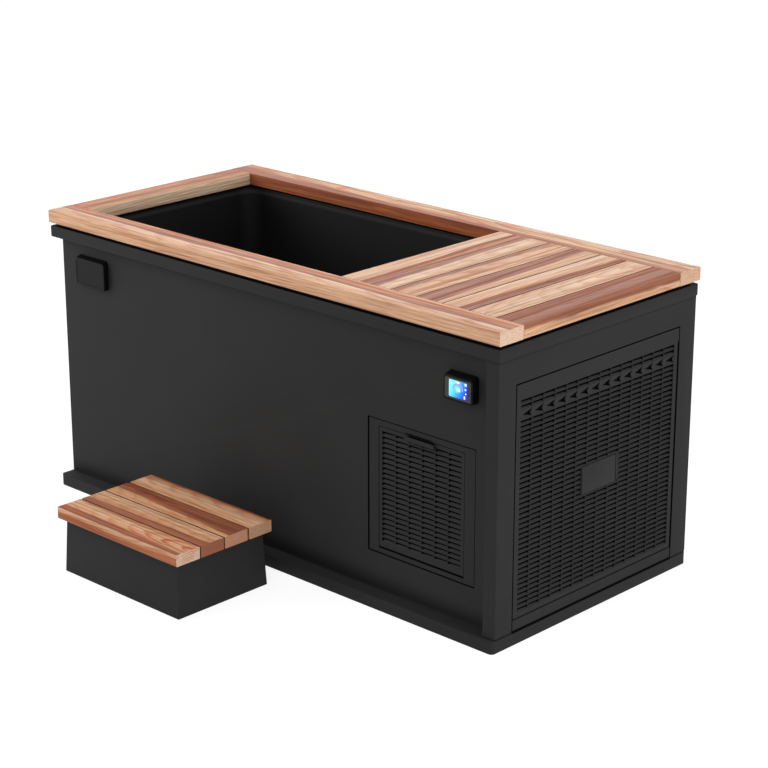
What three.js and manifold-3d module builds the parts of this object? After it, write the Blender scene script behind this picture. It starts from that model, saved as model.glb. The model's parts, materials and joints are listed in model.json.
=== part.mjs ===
// Cold plunge tub: an insulated basin in a moulded shell with a cedar rim, a lift-out deck, louvred
// service doors at the equipment end, and a matching step that stands in front.
// Millimetres, +Z up. +X points to the equipment end, the front is -Y, and the origin is on the
// floor under the middle of the tub.

import * as THREE from 'three';
import { mergeVertices } from 'three/addons/utils/BufferGeometryUtils.js';
import Module from 'manifold-3d';

const wasm = await Module();
wasm.setup();

// Fits
const seat = 0.3; // between pieces that rest on each other
const boreClearance = 1.5; // round a fitting that passes through a wall

// Timber rim and deck
const rimLength = 1760;
const rimWidth = 824;
const rimTop = 864; // above the floor
const boardThickness = 37;
const easedEdge = 2;
const railWidth = 90;
const leftRailWidth = 86;
const timberJoint = 1.5; // gap at a butt joint
const deckBoardCount = 7;
const deckBoardWidth = 88.4;
const deckGap = 2.4;
const deckLedge = 20; // bearing under each end of a deck board
const battenWidth = 50;
const battenDepth = 22;
const battenMargin = 8; // batten to hatch edge

// Moulded shell
const wall = 6;
const timberOverhang = 4; // timber past the lip at the front and the equipment end
const slightOverhang = 0.4; // and at the back and the bathing end
const spacerHeight = 10;
const spacerInset = 12; // spacer behind the lip's face
const spacerBar = 18; // its width at the equipment end
const lipHeight = 34;
const lipEdge = 3;
const lipCorner = 4; // upright corners of the lip and the walls
const insideCorner = 6;
const lipStep = 2; // lip past the corner pillar and the end face
const frontRecess = 35; // front wall behind the lip
const leftRecess = 9;
const backRecess = 2.5;
const pillarWidth = 43;
const recessCorner = 22;
const recessCove = 10;
const recessDrop = 4; // recess past the shell's bottom edge
const footGroove = 2.5; // shadow line between the shell and the plinth
const footGrooveDepth = 4;
const topLedge = 22; // shell's top plate round the equipment bay
const hatchCorner = 12;

// Plinth
const plinthHeight = 35;
const plinthInset = 1; // plinth behind the lip's face at the back
const plinthBathingInset = 6; // and at the bathing end
const plinthFrontStep = 10; // plinth past the lip's face at the front
const plinthEndStep = 0.3; // and past it at the equipment end
const plinthEdge = 1;
const plinthCorner = 12; // upright corners
const plinthDeck = 10;
const plinthSkirt = 16;
const plinthRib = 60;
const plinthBays = 4;

// Basin
const basinWall = 5;
const basinBottom = 130; // inside floor above the ground
const basinDraft = 14;
const basinCorner = 55;
const basinFillet = 35;
const basinFlange = 38;
const flangeThickness = 4;
const rimRound = 6;
const basinBehindTimber = 8;
const deckLap = 15; // deck past the basin's end wall
const topPlateClearance = 3; // round the basin, under its flange
const bulkheadThickness = 6;

// Control display and blank plate on the front wall
const screenWidth = 100;
const screenHeight = 67;
const screenFromEnd = 149; // centre to the end of the timber
const screenBelowTop = 185; // centre below the timber's top
const screenProud = 24;
const screenRim = 6;
const bezelSide = 14;
const bezelEdge = 5;
const faceRecess = 3;
const bossWidth = 40;
const bossHeight = 22;
const plateWidth = 132;
const plateHeight = 83;
const plateFromEnd = 153;
const plateBelowTop = 172; // centre below the timber's top
const plateProud = 18;
const plateRim = 7;
const plateDish = 1;
const housingCorner = 9;
const housingEdge = 2.5;
const housingSlope = 6; // rise of its top from the front edge to the wall

// Louvres shared by the two service doors
const louvrePlate = 6;
const slatDepth = 10;
const slatThickness = 2.2;
const slatRise = 8;
const ribWidth = 3;
const ribThickness = 2;
const louvreBite = 1; // slat and rib ends inside the plate

// Filter door
const doorFrameWidth = 374;
const doorFrameHeight = 375.5;
const doorFrameFromEnd = 296; // centre to the end of the timber
const doorFrameBottom = 144;
const doorFrameSunk = 1.5; // frame's face behind the wall's face
const doorFrameGap = 3.5; // shadow gap between the frame and the wall
const doorBacking = 8; // frame's back flange past the gap
const doorBackingThickness = 3;
const doorFrameDepth = 22;
const doorFrameWall = 4;
const doorWidth = 300;
const doorHeight = 340;
const doorSill = 18; // door bottom above the frame's bottom
const doorGap = 2;
const doorHingeGap = 6;
const doorSetBack = 0.8;
const doorStop = 6;
const doorRailHeight = 12;
const doorRailDepth = 10;
const hingeRise = 5; // hinge axis above the door's bottom edge
const hingePinRadius = 2.5;
const hingePinLength = 8;
const doorColumns = 6;
const doorRows = 22;
const doorSideMargin = 10;
const doorTopMargin = 9.5;
const doorBottomMargin = 15;
const pullWidth = 104;
const pullFromTop = 0.5; // top of the lip below the door's top edge
const pullHeight = 11;
const pullReach = 11;
const pullGauge = 2.6;

// End panel
const endOpeningWidth = 679;
const endOpeningBelowTop = 152; // top of the opening below the timber's top
const endFrameBand = 20;
const endFrameThickness = 8;
const sillHeight = 30;
const sillGap = 4;
const endPanelGap = 4;
const endNotch = 2.5; // extra gap down the panel's rear edge
const endNotchFromTop = 37;
const endColumns = 14;
const endRows = 41;
const endGripRow = 3; // counted from the top
const endGripPitch = 1.96; // in ordinary rows
const endSideMargin = 17.5;
const endTopMargin = 41;
const endBottomMargin = 13;
const endPlateWidth = 140;
const endPlateHeight = 77;
const endPlateThickness = 3;
const endPlateRise = 307; // its centre above the panel's bottom edge

// Step
const stepLength = 495;
const stepTop = 191;
const stepBoardCount = 4;
const stepBoardWidth = 82.5;
const stepTread = 34; // thickness
const stepGap = 3.5;
const stepWideGap = 6; // in front of the rearmost tread
const stepOverhang = 17; // tread past the top of the box
const stepDraft = 7; // box wider at the floor, on each side
const stepWall = 8;
const stepClear = 85; // tread to the tub's lip
const stepFromMiddle = 104; // step's middle towards the bathing end
const stepCleatWidth = 40;
const stepCleatDepth = 24;
const stepCleatSpacing = 300;

// Filter
const canRadius = 75;
const canWall = 8;
const canHeight = 345;
const canFloor = 40;
const canRimRadius = 90;
const canRimHeight = 14;
const canFootRadius = 62;
const canFootHeight = 24;
const canFromBulkhead = 144;
const canFromFront = 150;
const portRadius = 20;
const portLength = 25;
const filterInletHeight = 295;
const pleatCount = 28;
const pleatDepth = 10;
const cartridgeClearance = 5;
const cartridgeBore = 18;
const cartridgeCap = 8;
const lidThickness = 14;
const lidDome = 16;
const lidLugs = 6;
const lidLugDepth = 7;
const lidLugWidth = 18;
const lidGripLength = 96;
const lidGripWidth = 14;
const lidGripHeight = 18;

// Pump
const pumpHeight = 80; // shaft above the plinth
const feedHoseLength = 40;
const voluteRadius = 62;
const voluteWidth = 55;
const voluteInlet = 15;
const outletOffset = 40;
const outletRadius = 18;
const outletHeight = 85;
const pumpMotorRadius = 54;
const pumpMotorLength = 170;
const pumpFinDepth = 6;
const pumpFins = 18;
const pumpBellLength = 32;
const pumpFootLength = 80;
const pumpFootWidth = 90;

// Chiller
const trayLength = 524;
const trayWidth = 455;
const trayGauge = 2;
const trayUpstand = 20;
const trayFromBulkhead = 16;
const trayFromBack = 18.1;
const coilWidth = 385;
const coilHeight = 400;
const coilDepth = 44;
const coilFromFrame = 16;
const coilFromTrayBack = 40;
const coilLoops = 5;
const coilTube = 7;
const shroudDepth = 46;
const shroudGauge = 3;
const shroudRing = 16;
const fanRadius = 160;
const fanTipClearance = 8;
const fanBladeCount = 5;
const fanBladeChord = 84;
const fanBladeGauge = 3;
const fanHubRadius = 42;
const fanHubLength = 30;
const fanRootPitch = 0.62; // radians
const fanTipPitch = 0.34;
const fanShaftRadius = 5;
const fanArmClearance = 8; // arms behind the blades
const fanMotorRadius = 46;
const fanMotorLength = 60;
const fanArmWidth = 14;
const fanArmGauge = 6;
const fanArms = 4;
const compressorRadius = 72;
const compressorHeight = 254;
const compressorFromBulkhead = 124;
const compressorFromTrayFront = 130;
const compressorFootHeight = 14;
const compressorFootSpread = 84;
const compressorFootRadius = 13;
const compressorPlate = 5;
const accumulatorRadius = 26;
const accumulatorReach = 102;
const accumulatorBottom = 60; // above the foot plate
const accumulatorHeight = 160;
const exchangerRadius = 68;
const exchangerCap = 74;
const exchangerCapHeight = 50;
const exchangerHeight = 480;
const exchangerFromBulkhead = 124;
const exchangerFromBack = 114.1;
const exchangerInletHeight = 75; // above the tray
const exchangerOutletHeight = 402;
const exchangerLiquidHeight = 432;
const exchangerVapourHeight = 342;
const stubLength = 22;

// Pipes and hoses
const hoseRadius = 16;
const hoseSides = 8;
const lineRadius = 5;
const lineSides = 6;
const lineBend = 28;
const hoseLead = 34; // straight length at a stub
const hoseArch = 110; // over the pump's outlet

// Fittings in the basin wall
const fittingRadius = 19;
const fittingFlange = 44;
const fittingFlangeThickness = 11;
const fittingNut = 30;
const fittingNutLength = 8;
const fittingTail = 7;
const returnAcross = 100; // from the tub's middle line
const returnBelowTop = 304; // below the timber's top

// Drain
const drainAcross = 120; // behind the filter
const drainMargin = 8; // strainer to the curve at the floor's edge
const drainHeight = 85; // pipe above the floor
const drainRadius = 14;
const drainFlange = 32;
const drainFlangeThickness = 4;
const valveRadius = 26;
const valveFromBulkhead = 46;
const drainOutlet = 58; // outlet's end past the valve
const stemRadius = 6;
const stemTop = 42; // above the pipe
const leverRadius = 14;
const leverLength = 92;
const leverGauge = 5;

// Control box and mains inlet
const controlDepth = 72;
const controlWidth = 170;
const controlHeight = 170;
const controlAcross = -25;
const controlBelowLip = 35; // box below the lip's top
const controlCorner = 10;
const glandRadius = 9;
const glandLength = 14;
const inletFromEnd = 120;
const inletHeight = 120;
const inletRadius = 21;
const inletFlange = 31;
const inletFlangeThickness = 4;
const inletDepth = 28;

// Levels
const rimBottom = rimTop - boardThickness;
const lipTop = rimBottom - spacerHeight;
const lipBottom = lipTop - lipHeight;
const shellBottom = plinthHeight + seat;
const recessBottom = shellBottom - recessDrop;
const flangeTop = lipTop + seat + flangeThickness;

// Outer faces
const lipLeft = -rimLength / 2 + slightOverhang;
const lipRight = rimLength / 2 - timberOverhang;
const lipFront = -rimWidth / 2 + timberOverhang;
const lipBack = rimWidth / 2 - slightOverhang;
const faceRight = lipRight - lipStep;
const faceLeft = lipLeft + leftRecess;
const faceFront = lipFront + lipStep;
const faceBack = lipBack - backRecess;
const recessFace = lipFront + frontRecess;
const pillarEdge = lipRight - pillarWidth;

// Deck, basin and bulkhead
const deckLength = deckBoardCount * deckBoardWidth + (deckBoardCount - 1) * deckGap;
const deckLeft = rimLength / 2 - deckLength;
const railInner = rimWidth / 2 - railWidth;
const deckHalf = railInner - timberJoint;
const basinLeft = -rimLength / 2 + leftRailWidth - basinBehindTimber;
const basinRight = deckLeft + deckLap;
const basinHalf = railInner + basinBehindTimber;
const bulkheadLeft = basinRight + basinFlange + seat;
const bulkheadFace = bulkheadLeft + bulkheadThickness;
const hatchHalf = deckHalf - deckLedge;
const hatchRight = lipRight - spacerInset - spacerBar;

// Inner faces of the equipment bay
const bayFront = recessFace + wall;
const bayBack = faceBack - wall;
const bayEnd = faceRight - wall - seat - endFrameThickness;
const trayTop = plinthHeight + seat + trayGauge;

// Door, display and plate places on the front wall
const doorFrameX = rimLength / 2 - doorFrameFromEnd;
const doorBottom = doorFrameBottom + doorSill;
const doorFront = -doorFrameSunk - doorSetBack; // in front of the wall's face
const doorTop = doorBottom + doorHeight;
const hingeZ = doorBottom + hingeRise;
const screenX = rimLength / 2 - screenFromEnd;
const screenCentre = rimTop - screenBelowTop;
const plateX = -rimLength / 2 + plateFromEnd;
const plateCentre = rimTop - plateBelowTop;
const endOpeningTop = rimTop - endOpeningBelowTop;

// Equipment places
const filterX = bulkheadFace + canFromBulkhead;
const filterY = bayFront + canFromFront;
const pumpX = filterX + canRadius + portLength + feedHoseLength + voluteInlet;
const pumpZ = plinthHeight + pumpHeight;
const trayX = bulkheadFace + trayFromBulkhead;
const trayBack = bayBack - trayFromBack;
const trayFront = trayBack - trayWidth;
const coilX = bayEnd - coilFromFrame - coilDepth;
const coilY = trayBack - coilFromTrayBack - coilWidth / 2;
const coilZ = trayTop + seat + coilHeight / 2;
const shroudX = coilX - seat - shroudDepth;
const compressorX = bulkheadFace + compressorFromBulkhead;
const compressorY = trayFront + compressorFromTrayFront;
const compressorTop = trayTop + seat + compressorFootHeight + compressorPlate + compressorHeight;
const exchangerX = bulkheadFace + exchangerFromBulkhead;
const exchangerY = bayBack - exchangerFromBack;
const suctionZ = plinthHeight + filterInletHeight;
const drainY = filterY + drainAcross;
const drainX = basinRight - basinFillet - drainFlange - drainMargin;
const valveX = bulkheadFace + valveFromBulkhead;
const inletX = rimLength / 2 - inletFromEnd;
const returnHeight = rimTop - returnBelowTop;
const controlBottom = lipTop - controlBelowLip - controlHeight;

// Finishes
const finish = (color, roughness, metalness = 0) =>
  new THREE.MeshStandardMaterial({ color, roughness, metalness });
const shellPlastic = finish(0x323335, 0.62);
const basinPlastic = finish(0x1a1b1c, 0.5);
const blackPlastic = finish(0x141415, 0.55);
const bezelGrey = finish(0x55534f, 0.5);
const screenBlue = finish(0x2f7de0, 0.12);
const cedar = finish(0xc98f66, 0.55);
const foam = finish(0xd8cfa8, 0.9);
const galvanised = finish(0x9aa0a4, 0.4, 0.9);
const aluminium = finish(0xb8bcc0, 0.35, 0.9);
const copper = finish(0xb8693c, 0.35, 0.95);
const rubberHose = finish(0x202122, 0.7);
const whitePlastic = finish(0xe4e4e0, 0.45);
const filterPaper = finish(0xe9ecee, 0.85);
const redHandle = finish(0xa82a22, 0.5);

// Solids

function signedVolume(points, triangles) {
  const corner = [new THREE.Vector3(), new THREE.Vector3(), new THREE.Vector3()];
  let volume = 0;
  for (let i = 0; i < triangles.length; i += 3) {
    corner.forEach((c, k) => c.fromArray(points, 3 * triangles[i + k]));
    volume += corner[0].dot(corner[1].cross(corner[2]));
  }
  return volume;
}

// A closed geometry as a solid, with its corners shared and its faces pointing out.
function solid(geometry) {
  const bare = geometry.clone();
  bare.deleteAttribute('normal');
  bare.deleteAttribute('uv');
  const merged = mergeVertices(bare, 1e-4);
  const vertProperties = merged.attributes.position.array;
  const index = merged.index.array;
  const triangles = [];
  for (let i = 0; i < index.length; i += 3) {
    const [a, b, c] = index.slice(i, i + 3);
    if (a !== b && b !== c && c !== a) triangles.push(a, b, c);
  }
  if (signedVolume(vertProperties, triangles) < 0) triangles.reverse();
  const triVerts = new Uint32Array(triangles);
  return new wasm.Manifold(new wasm.Mesh({ numProp: 3, vertProperties, triVerts }));
}

const joined = (bodies) => bodies.reduce((whole, body) => whole.add(body));
const cut = (body, tools) => tools.reduce((rest, tool) => rest.subtract(tool), body);

function piece(group, name, body, material) {
  const { vertProperties, triVerts } = body.getMesh();
  const geometry = new THREE.BufferGeometry();
  geometry.setAttribute('position', new THREE.Float32BufferAttribute(vertProperties, 3));
  geometry.setIndex(Array.from(triVerts));
  geometry.computeVertexNormals();
  const mesh = new THREE.Mesh(geometry, material);
  mesh.name = name;
  group.add(mesh);
}

// Geometry

const box = (x0, x1, y0, y1, z0, z1) =>
  new THREE.BoxGeometry(x1 - x0, y1 - y0, z1 - z0)
    .translate((x0 + x1) / 2, (y0 + y1) / 2, (z0 + z1) / 2);

function roundedRect(x0, x1, y0, y1, radius) {
  const quarter = Math.PI / 2;
  const shape = new THREE.Shape();
  shape.absarc(x1 - radius, y1 - radius, radius, 0, quarter);
  shape.absarc(x0 + radius, y1 - radius, radius, quarter, 2 * quarter);
  shape.absarc(x0 + radius, y0 + radius, radius, 2 * quarter, 3 * quarter);
  shape.absarc(x1 - radius, y0 + radius, radius, 3 * quarter, 4 * quarter);
  return shape.closePath();
}

const rectangle = (x0, x1, y0, y1) =>
  new THREE.Shape([[x0, y0], [x1, y0], [x1, y1], [x0, y1]].map((p) => new THREE.Vector2(...p)));

const polygon = (points) => new THREE.Shape(points.map(([x, y]) => new THREE.Vector2(x, y)));

// A star outline of pleats or cooling fins, or a plain circle where the two radii agree.
function ringOutline(outer, inner, count) {
  const turn = (i) => (i * Math.PI) / count;
  const points = Array.from({ length: 2 * count }, (_, i) => {
    const radius = i % 2 ? inner : outer;
    return [radius * Math.cos(turn(i)), radius * Math.sin(turn(i))];
  });
  return polygon(points);
}

const prism = (shape, z0, z1, curveSegments = 2) =>
  new THREE.ExtrudeGeometry(shape, { depth: z1 - z0, bevelEnabled: false, curveSegments })
    .translate(0, 0, z0);

// A prism whose top and bottom edges are rounded inwards from its outline.
function bevelled(shape, z0, z1, edge, bevelSegments = 2) {
  const depth = z1 - z0 - 2 * edge;
  const bevel = { bevelThickness: edge, bevelSize: edge, bevelOffset: -edge, bevelSegments };
  return new THREE.ExtrudeGeometry(shape, { depth, curveSegments: 2, ...bevel })
    .translate(0, 0, z0 + edge);
}

const rod = (radius, z0, z1, sides = 12) =>
  new THREE.CylinderGeometry(radius, radius, z1 - z0, sides)
    .rotateX(Math.PI / 2)
    .translate(0, 0, (z0 + z1) / 2);

// A profile of [radius, height] pairs turned about +Z.
const turned = (profile, sides = 16) =>
  new THREE.LatheGeometry(profile.map(([r, h]) => new THREE.Vector2(r, h)), sides)
    .rotateX(Math.PI / 2);

const axisX = new THREE.Vector3(1, 0, 0);
const axisY = new THREE.Vector3(0, 1, 0);
const axisZ = new THREE.Vector3(0, 0, 1);
const frontBasis = new THREE.Matrix4().makeBasis(axisX, axisZ, axisY.clone().negate());
const endBasis = new THREE.Matrix4().makeBasis(axisY, axisZ, axisX);

// Stands a flat geometry up: its x and y become X and Z, and its height points out of the front.
const facingFront = (geometry, y = 0) => geometry.applyMatrix4(frontBasis).translate(0, y, 0);

// Its x and y become Y and Z, and its height points out of the equipment end.
const facingEnd = (geometry, x = 0) => geometry.applyMatrix4(endBasis).translate(x, 0, 0);

const boardAlongX = (x0, x1, y0, y1, z0, z1) =>
  solid(facingEnd(prism(roundedRect(y0, y1, z0, z1, easedEdge), x0, x1, 1)));

const boardAlongY = (x0, x1, y0, y1, z0, z1) =>
  solid(facingFront(prism(roundedRect(x0, x1, z0, z1, easedEdge), -y1, -y0, 1)));

// A closed body through levels that all have the same number of points.
function loft(levels) {
  const count = levels[0].length;
  const last = (levels.length - 1) * count;
  const index = [];
  for (let base = 0; base < last; base += count) {
    for (let j = 0; j < count; j += 1) {
      const a = base + j;
      const b = base + ((j + 1) % count);
      index.push(a, b, b + count, a, b + count, a + count);
    }
  }
  for (let j = 1; j + 1 < count; j += 1) {
    index.push(0, j + 1, j, last, last + j, last + j + 1);
  }
  const geometry = new THREE.BufferGeometry();
  geometry.setAttribute('position', new THREE.Float32BufferAttribute(levels.flat(2), 3));
  geometry.setIndex(index);
  return solid(geometry);
}

// A round tube through its stations, each level square to the way it runs.
function tube(stations, radius, sides) {
  let normal = null;
  const levels = stations.map((station, i) => {
    const before = stations[Math.max(0, i - 1)];
    const after = stations[Math.min(stations.length - 1, i + 1)];
    const along = after.clone().sub(before).normalize();
    normal = normal ?? new THREE.Vector3(along.y, along.z, along.x);
    normal.addScaledVector(along, -normal.dot(along)).normalize();
    const across = along.clone().cross(normal);
    return Array.from({ length: sides }, (_, k) => {
      const angle = (2 * Math.PI * k) / sides;
      const spot = station.clone()
        .addScaledVector(normal, radius * Math.cos(angle))
        .addScaledVector(across, radius * Math.sin(angle));
      return spot.toArray();
    });
  });
  return loft(levels);
}

// A hose: straight at both ends, and a smooth curve through its other points.
function hose(points) {
  const stops = points.map((p) => new THREE.Vector3(...p));
  const inner = stops.slice(1, -1);
  if (inner.length < 2) return tube(stops, hoseRadius, hoseSides);
  const curve = new THREE.CatmullRomCurve3(inner);
  const steps = Math.round(curve.getLength() / (2.2 * hoseRadius));
  return tube([stops[0], ...curve.getSpacedPoints(steps), stops.at(-1)], hoseRadius, hoseSides);
}

// A bent copper line: straight runs with a rounded corner at each inner point.
function bentLine(points) {
  const stops = points.map((p) => new THREE.Vector3(...p));
  const corners = stops.slice(1, -1).flatMap((corner, i) => {
    const enter = stops[i].clone().sub(corner).setLength(lineBend).add(corner);
    const leave = stops[i + 2].clone().sub(corner).setLength(lineBend).add(corner);
    return new THREE.QuadraticBezierCurve3(enter, corner, leave).getPoints(4);
  });
  return tube([stops[0], ...corners, stops.at(-1)], lineRadius, lineSides);
}

// One level of a loft: a rounded rectangle as points, corner by corner.
function ring({ x0, x1, y0, y1, radius }, z) {
  const cornerSteps = 4;
  const centres = [[x1 - radius, y1 - radius], [x0 + radius, y1 - radius],
    [x0 + radius, y0 + radius], [x1 - radius, y0 + radius]];
  return centres.flatMap(([cx, cy], corner) =>
    Array.from({ length: cornerSteps + 1 }, (_, i) => {
      const angle = ((corner + i / cornerSteps) * Math.PI) / 2;
      return [cx + radius * Math.cos(angle), cy + radius * Math.sin(angle), z];
    }));
}

// Plinth: a tray with a skirt, ribs underneath and a flat top.
function plinth(group) {
  const left = lipLeft + plinthBathingInset;
  const right = lipRight + plinthEndStep;
  const front = lipFront - plinthFrontStep;
  const back = lipBack - plinthInset;
  const block = bevelled(roundedRect(left, right, front, back, plinthCorner), 0, plinthHeight, plinthEdge);
  const bayPitch = (right - left - 2 * plinthSkirt + plinthRib) / plinthBays;
  const depth = plinthHeight - plinthDeck;
  const bays = [];
  for (let i = 0; i < plinthBays; i += 1) {
    const x0 = left + plinthSkirt + i * bayPitch;
    const x1 = x0 + bayPitch - plinthRib;
    bays.push(solid(box(x0, x1, front + plinthSkirt, -plinthRib / 2, -1, depth)));
    bays.push(solid(box(x0, x1, plinthRib / 2, back - plinthSkirt, -1, depth)));
  }
  piece(group, 'base_plinth', cut(solid(block), bays), shellPlastic);
}

// The hollow in front of the recessed wall, with coved edges, grown by the wall for the inside face.
function recessTool(grow) {
  const outside = lipLeft - frontRecess;
  const outline = roundedRect(outside, pillarEdge + grow, recessBottom - grow, lipBottom + lipEdge / 2 + grow,
    recessCorner + grow);
  const reach = 2 * (frontRecess + recessCove);
  return solid(facingFront(bevelled(outline, 0, reach, recessCove + grow, 3), recessFace + grow));
}

// Rounds the upright corner between the recessed wall and the left end.
function recessCornerTool() {
  const cx = faceLeft + lipCorner;
  const cy = recessFace + lipCorner;
  const past = 1;
  const shape = new THREE.Shape();
  shape.moveTo(faceLeft - past, recessFace - past);
  shape.lineTo(cx, recessFace - past);
  shape.absarc(cx, cy, lipCorner + seat, -Math.PI / 2, -Math.PI, true);
  shape.lineTo(faceLeft - past, cy);
  shape.closePath();
  return solid(prism(shape, recessBottom, lipTop));
}

// Shell: lip, walls with the recessed front and the corner pillar, open below and on top.
function outerShell(group) {
  const lip = roundedRect(lipLeft, lipRight, lipFront, lipBack, lipCorner);
  const walls = (inset, radius) =>
    roundedRect(faceLeft + inset, faceRight - inset, faceFront + inset, faceBack - inset, radius);
  const outside = solid(prism(walls(0, lipCorner), shellBottom + footGroove, lipTop - lipHeight / 2))
    .add(solid(prism(walls(footGrooveDepth, lipCorner), shellBottom, shellBottom + 2 * footGroove)))
    .subtract(recessTool(0))
    .subtract(recessCornerTool())
    .add(solid(bevelled(lip, lipBottom, lipTop, lipEdge)));

  const lipInner = roundedRect(lipLeft + wall, lipRight - wall, lipFront + wall, lipBack - wall,
    insideCorner);
  const inside = solid(prism(walls(wall, insideCorner), 0, lipTop - lipHeight / 2))
    .subtract(recessTool(wall))
    .add(solid(prism(lipInner, lipBottom + wall, lipTop - wall)));

  const around = basinWall + rimRound + topPlateClearance;
  const openingHalf = basinHalf + around;
  const openingLeft = basinLeft - around;
  const topOpening = roundedRect(openingLeft, hatchRight, -openingHalf, openingHalf, basinCorner);
  const bossX = bossWidth / 2 + seat;
  const bossZ = bossHeight / 2 + seat;
  const past = 1;
  const openings = [
    prism(topOpening, lipTop - 2 * wall, lipTop + past),
    box(bulkheadFace, lipRight - topLedge, lipFront + topLedge, lipBack - topLedge,
      lipTop - 1.5 * wall, lipTop + past),
    facingFront(prism(doorFrameOutline(doorFrameGap), -wall - past, past), recessFace),
    box(faceRight - wall - past, faceRight + past, -endOpeningWidth / 2, endOpeningWidth / 2,
      0, endOpeningTop),
    box(screenX - bossX, screenX + bossX, recessFace - past, bayFront + past,
      screenCentre - bossZ, screenCentre + bossZ),
    facingFront(rod(inletRadius + boreClearance, -faceBack - past, -bayBack + past)
      .translate(inletX, inletHeight, 0)),
  ];
  piece(group, 'outer_shell', cut(outside.subtract(inside), openings.map(solid)), shellPlastic);
}

// The basin's side at a level: outset from its inner face, pulled in by the corner at the floor.
function basinLevel(outset, z, pulledIn = 0) {
  const depth = (flangeTop - z) / (flangeTop - basinBottom);
  const side = basinDraft * Math.min(1, Math.max(0, depth)) - outset + pulledIn;
  return ring({
    x0: basinLeft + side,
    x1: basinRight + outset - pulledIn,
    y0: -basinHalf + side,
    y1: basinHalf - side,
    radius: basinCorner + outset,
  }, z);
}

function basinFloorLevels(outset) {
  const steps = 3;
  return Array.from({ length: steps + 1 }, (_, i) => {
    const angle = (i / steps) * (Math.PI / 2);
    const reach = basinFillet + outset;
    const z = basinBottom + basinFillet - reach * Math.cos(angle);
    return basinLevel(outset, z, reach - reach * Math.sin(angle));
  });
}

const throughWall = (radius, y, z) =>
  solid(facingEnd(rod(radius + boreClearance, basinRight - basinFillet, bulkheadFace + basinFillet)
    .translate(y, z, 0)));

const wallBores = () => [
  throughWall(fittingRadius, filterY, suctionZ),
  throughWall(fittingRadius, returnAcross, returnHeight),
];

function drainBores() {
  const radius = drainRadius + boreClearance;
  const past = 1;
  return [
    solid(rod(radius, drainHeight - radius, basinBottom + past).translate(drainX, drainY, 0)),
    solid(facingEnd(rod(radius, drainX - radius, bulkheadFace + past).translate(drainY, drainHeight, 0))),
  ];
}

// Basin: a drafted tub with a rolled rim and a flange that lies on the shell's top plate.
function innerBasin(group) {
  const flange = {
    x0: basinLeft - basinFlange,
    x1: basinRight + basinFlange,
    y0: -basinHalf - basinFlange,
    y1: basinHalf + basinFlange,
    radius: basinCorner,
  };
  const flangeBottom = flangeTop - flangeThickness;
  const half = rimRound * (1 - Math.SQRT1_2);
  const levels = [
    ...basinFloorLevels(0),
    basinLevel(0, flangeTop - rimRound),
    basinLevel(half, flangeTop - half),
    basinLevel(rimRound, flangeTop),
    ring(flange, flangeTop),
    ring(flange, flangeBottom),
    basinLevel(basinWall + rimRound, flangeBottom),
    basinLevel(basinWall, flangeBottom - rimRound),
    ...basinFloorLevels(basinWall).reverse(),
  ];
  piece(group, 'inner_basin', cut(loft(levels), [...wallBores(), ...drainBores()]), basinPlastic);
}

// Foam between basin and shell, and the bulkhead that closes it off from the equipment bay.
function insulation(group) {
  const top = lipBottom - seat;
  const around = basinWall + 2 * seat;
  const hollow = loft([...basinFloorLevels(around), basinLevel(around, top + boardThickness)]);
  const outline = roundedRect(faceLeft + wall + seat, bulkheadLeft - seat, bayFront + seat, bayBack - seat,
    insideCorner);
  const block = solid(prism(outline, plinthHeight + seat, top));
  const bores = [...wallBores(), ...drainBores()];
  piece(group, 'foam_jacket', cut(block, [hollow, ...bores]), foam);
  const sheet = solid(box(bulkheadLeft, bulkheadFace, bayFront + seat, bayBack - seat,
    plinthHeight + seat, lipTop - wall - seat));
  piece(group, 'bulkhead', cut(sheet, bores), blackPlastic);
}

// Spacer frame under the timber, rebated over the basin's flange, with the deck's hatch in it.
function topSpacer(group) {
  const frame = roundedRect(lipLeft + spacerInset, lipRight - spacerInset, lipFront + spacerInset,
    lipBack - spacerInset, hatchCorner);
  const rim = rimRound + seat;
  frame.holes.push(roundedRect(basinLeft - rim, basinRight + rim, -basinHalf - rim, basinHalf + rim,
    basinCorner));
  frame.holes.push(roundedRect(bulkheadFace, hatchRight, -hatchHalf, hatchHalf, hatchCorner));
  const flange = roundedRect(basinLeft - basinFlange - seat, basinRight + basinFlange + seat,
    -basinHalf - basinFlange - seat, basinHalf + basinFlange + seat, basinCorner / 2);
  const body = solid(prism(frame, lipTop + seat, rimBottom - seat))
    .subtract(solid(prism(flange, lipTop, flangeTop + seat)));
  piece(group, 'top_spacer', body, blackPlastic);
}

// Rails: the front and back ones run the whole length, and the left one fits between them.
function rimRails(group) {
  const half = rimLength / 2;
  const outer = rimWidth / 2;
  piece(group, 'front_rail', boardAlongX(-half, half, -outer, -railInner, rimBottom, rimTop), cedar);
  piece(group, 'back_rail', boardAlongX(-half, half, railInner, outer, rimBottom, rimTop), cedar);
  piece(group, 'left_rail',
    boardAlongY(-half, -half + leftRailWidth, -deckHalf, deckHalf, rimBottom, rimTop), cedar);
}

// Deck: boards across the tub on two battens that drop into the hatch.
function deck(group) {
  for (let i = 0; i < deckBoardCount; i += 1) {
    const x = deckLeft + i * (deckBoardWidth + deckGap);
    const board = boardAlongY(x, x + deckBoardWidth, -deckHalf, deckHalf, rimBottom, rimTop);
    piece(group, `deck_board_${i + 1}`, board, cedar);
  }
  const x0 = bulkheadFace + battenMargin;
  const x1 = hatchRight - battenMargin;
  const outer = hatchHalf - battenMargin;
  const z1 = rimBottom - seat;
  const z0 = z1 - battenDepth;
  const front = boardAlongX(x0, x1, -outer, -outer + battenWidth, z0, z1);
  const back = boardAlongX(x0, x1, outer - battenWidth, outer, z0, z1);
  piece(group, 'deck_batten_front', front, cedar);
  piece(group, 'deck_batten_back', back, cedar);
}

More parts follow.
